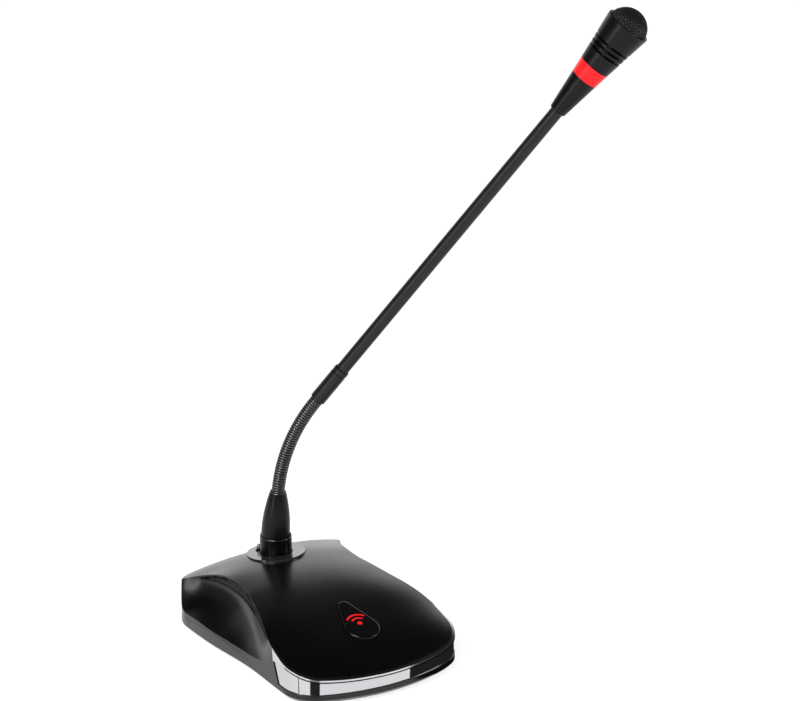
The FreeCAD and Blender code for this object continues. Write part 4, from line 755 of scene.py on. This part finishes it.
def make_world():
    """White to the camera. To all else, white low down behind the object and dark elsewhere."""
    world = bpy.data.worlds.new("studio")
    world.use_nodes = True
    tree = world.node_tree
    tree.nodes.clear()
    place = add_node(tree, "ShaderNodeTexCoord")
    split = add_node(tree, "ShaderNodeSeparateXYZ")
    link(tree, place.outputs["Generated"], split.inputs[0])
    height = add_node(tree, "ShaderNodeValToRGB")
    height.color_ramp.elements[0].position = SKY_WHITE
    height.color_ramp.elements[0].color = (1, 1, 1, 1)
    height.color_ramp.elements[1].position = SKY_DARK
    height.color_ramp.elements[1].color = (SKY_TOP, SKY_TOP, SKY_TOP, 1)
    link(tree, split.outputs["Z"], height.inputs["Fac"])
    side = add_node(tree, "ShaderNodeVectorMath", operation="DOT_PRODUCT")
    side.inputs[1].default_value = BACK_WAY
    link(tree, place.outputs["Generated"], side.inputs[0])
    depth = add_node(tree, "ShaderNodeMapRange")
    depth.inputs["From Min"].default_value = BACK_SPREAD[0]
    depth.inputs["From Max"].default_value = BACK_SPREAD[1]
    depth.inputs["To Min"].default_value = BACK_DARK
    depth.inputs["To Max"].default_value = 1.0
    link(tree, side.outputs["Value"], depth.inputs["Value"])
    both = add_node(tree, "ShaderNodeMix", data_type="RGBA", blend_type="MULTIPLY")
    both.inputs["Factor"].default_value = 1.0
    link(tree, height.outputs["Color"], both.inputs["A"])
    link(tree, depth.outputs["Result"], both.inputs["B"])
    lit = add_node(tree, "ShaderNodeBackground")
    lit.inputs["Strength"].default_value = STUDIO_STRENGTH
    link(tree, both.outputs["Result"], lit.inputs["Color"])
    seen = add_node(tree, "ShaderNodeBackground")
    seen.inputs["Color"].default_value = (1, 1, 1, 1)
    rays = add_node(tree, "ShaderNodeLightPath")
    choose = add_node(tree, "ShaderNodeMixShader")
    link(tree, rays.outputs["Is Camera Ray"], choose.inputs["Fac"])
    link(tree, lit.outputs[0], choose.inputs[1])
    link(tree, seen.outputs[0], choose.inputs[2])
    out = add_node(tree, "ShaderNodeOutputWorld")
    link(tree, choose.outputs[0], out.inputs["Surface"])
    bpy.context.scene.world = world


def flat_stage(name, colour, roughness):
    """Empty mesh of a stage piece with its plain material, and that material's shader."""
    mesh = bpy.data.meshes.new(name)
    material = bpy.data.materials.new(name)
    material.use_nodes = True
    shader = material.node_tree.nodes["Principled BSDF"]
    shader.inputs["Base Color"].default_value = (colour, colour, colour, 1)
    shader.inputs["Roughness"].default_value = roughness
    mesh.materials.append(material)
    return mesh, shader


def make_floor():
    """Pale floor that looks white where nothing shades it."""
    mesh, shader = flat_stage("floor", FLOOR_GREY, 0.8)
    tree = mesh.materials[0].node_tree
    shape = bmesh.new()
    bmesh.ops.create_circle(shape, cap_ends=True, segments=96, radius=FLOOR_RADIUS)
    shape.to_mesh(mesh)
    shape.free()
    floor = bpy.data.objects.new("floor", mesh)
    bpy.context.scene.collection.objects.link(floor)
    rays = add_node(tree, "ShaderNodeLightPath")
    camera = add_node(tree, "ShaderNodeMath", operation="MULTIPLY")
    camera.inputs[1].default_value = FLOOR_GLOW
    link(tree, rays.outputs["Is Camera Ray"], camera.inputs[0])
    gloss = add_node(tree, "ShaderNodeMath", operation="MULTIPLY_ADD")
    gloss.inputs[1].default_value = FLOOR_GLOSS
    link(tree, rays.outputs["Is Glossy Ray"], gloss.inputs[0])
    link(tree, camera.outputs[0], gloss.inputs[2])
    shader.inputs["Emission Color"].default_value = (1, 1, 1, 1)
    link(tree, gloss.outputs[0], shader.inputs["Emission Strength"])


def make_flag(name, corners):
    """Dark card on the floor that only reflections see."""
    mesh, _ = flat_stage(name, FLAG_GREY, 0.9)
    shape = bmesh.new()
    points = [shape.verts.new((x * MM, y * MM, FLAG_LIFT)) for x, y in corners]
    bmesh.ops.contextual_create(shape, geom=points)
    shape.to_mesh(mesh)
    shape.free()
    flag = bpy.data.objects.new(name, mesh)
    bpy.context.scene.collection.objects.link(flag)
    flag.visible_camera = False
    flag.visible_diffuse = False
    flag.visible_shadow = False


def make_studio():
    """Plain pale floor, soft lamps and cards for the dark panels in the polished band."""
    bpy.context.scene.view_settings.view_transform = "Standard"
    make_world()
    make_floor()
    soft_lamp("key", (-1.6, -1.0, 1.9), 0.9, 26)
    soft_lamp("fill", (1.9, -1.2, 1.4), 0.8, 7)
    soft_lamp("strip", (-1.9, -0.3, 0.7), 0.3, 7, 1.6)
    for name, corners in FLAGS.items():
        make_flag(name, corners)


paint_nodes()
make_neck()
make_dome()
make_liner()
make_band("left", -1)
make_band("right", 1)
make_rims()
make_shadow_line()
make_latch()
make_camera()
make_studio()
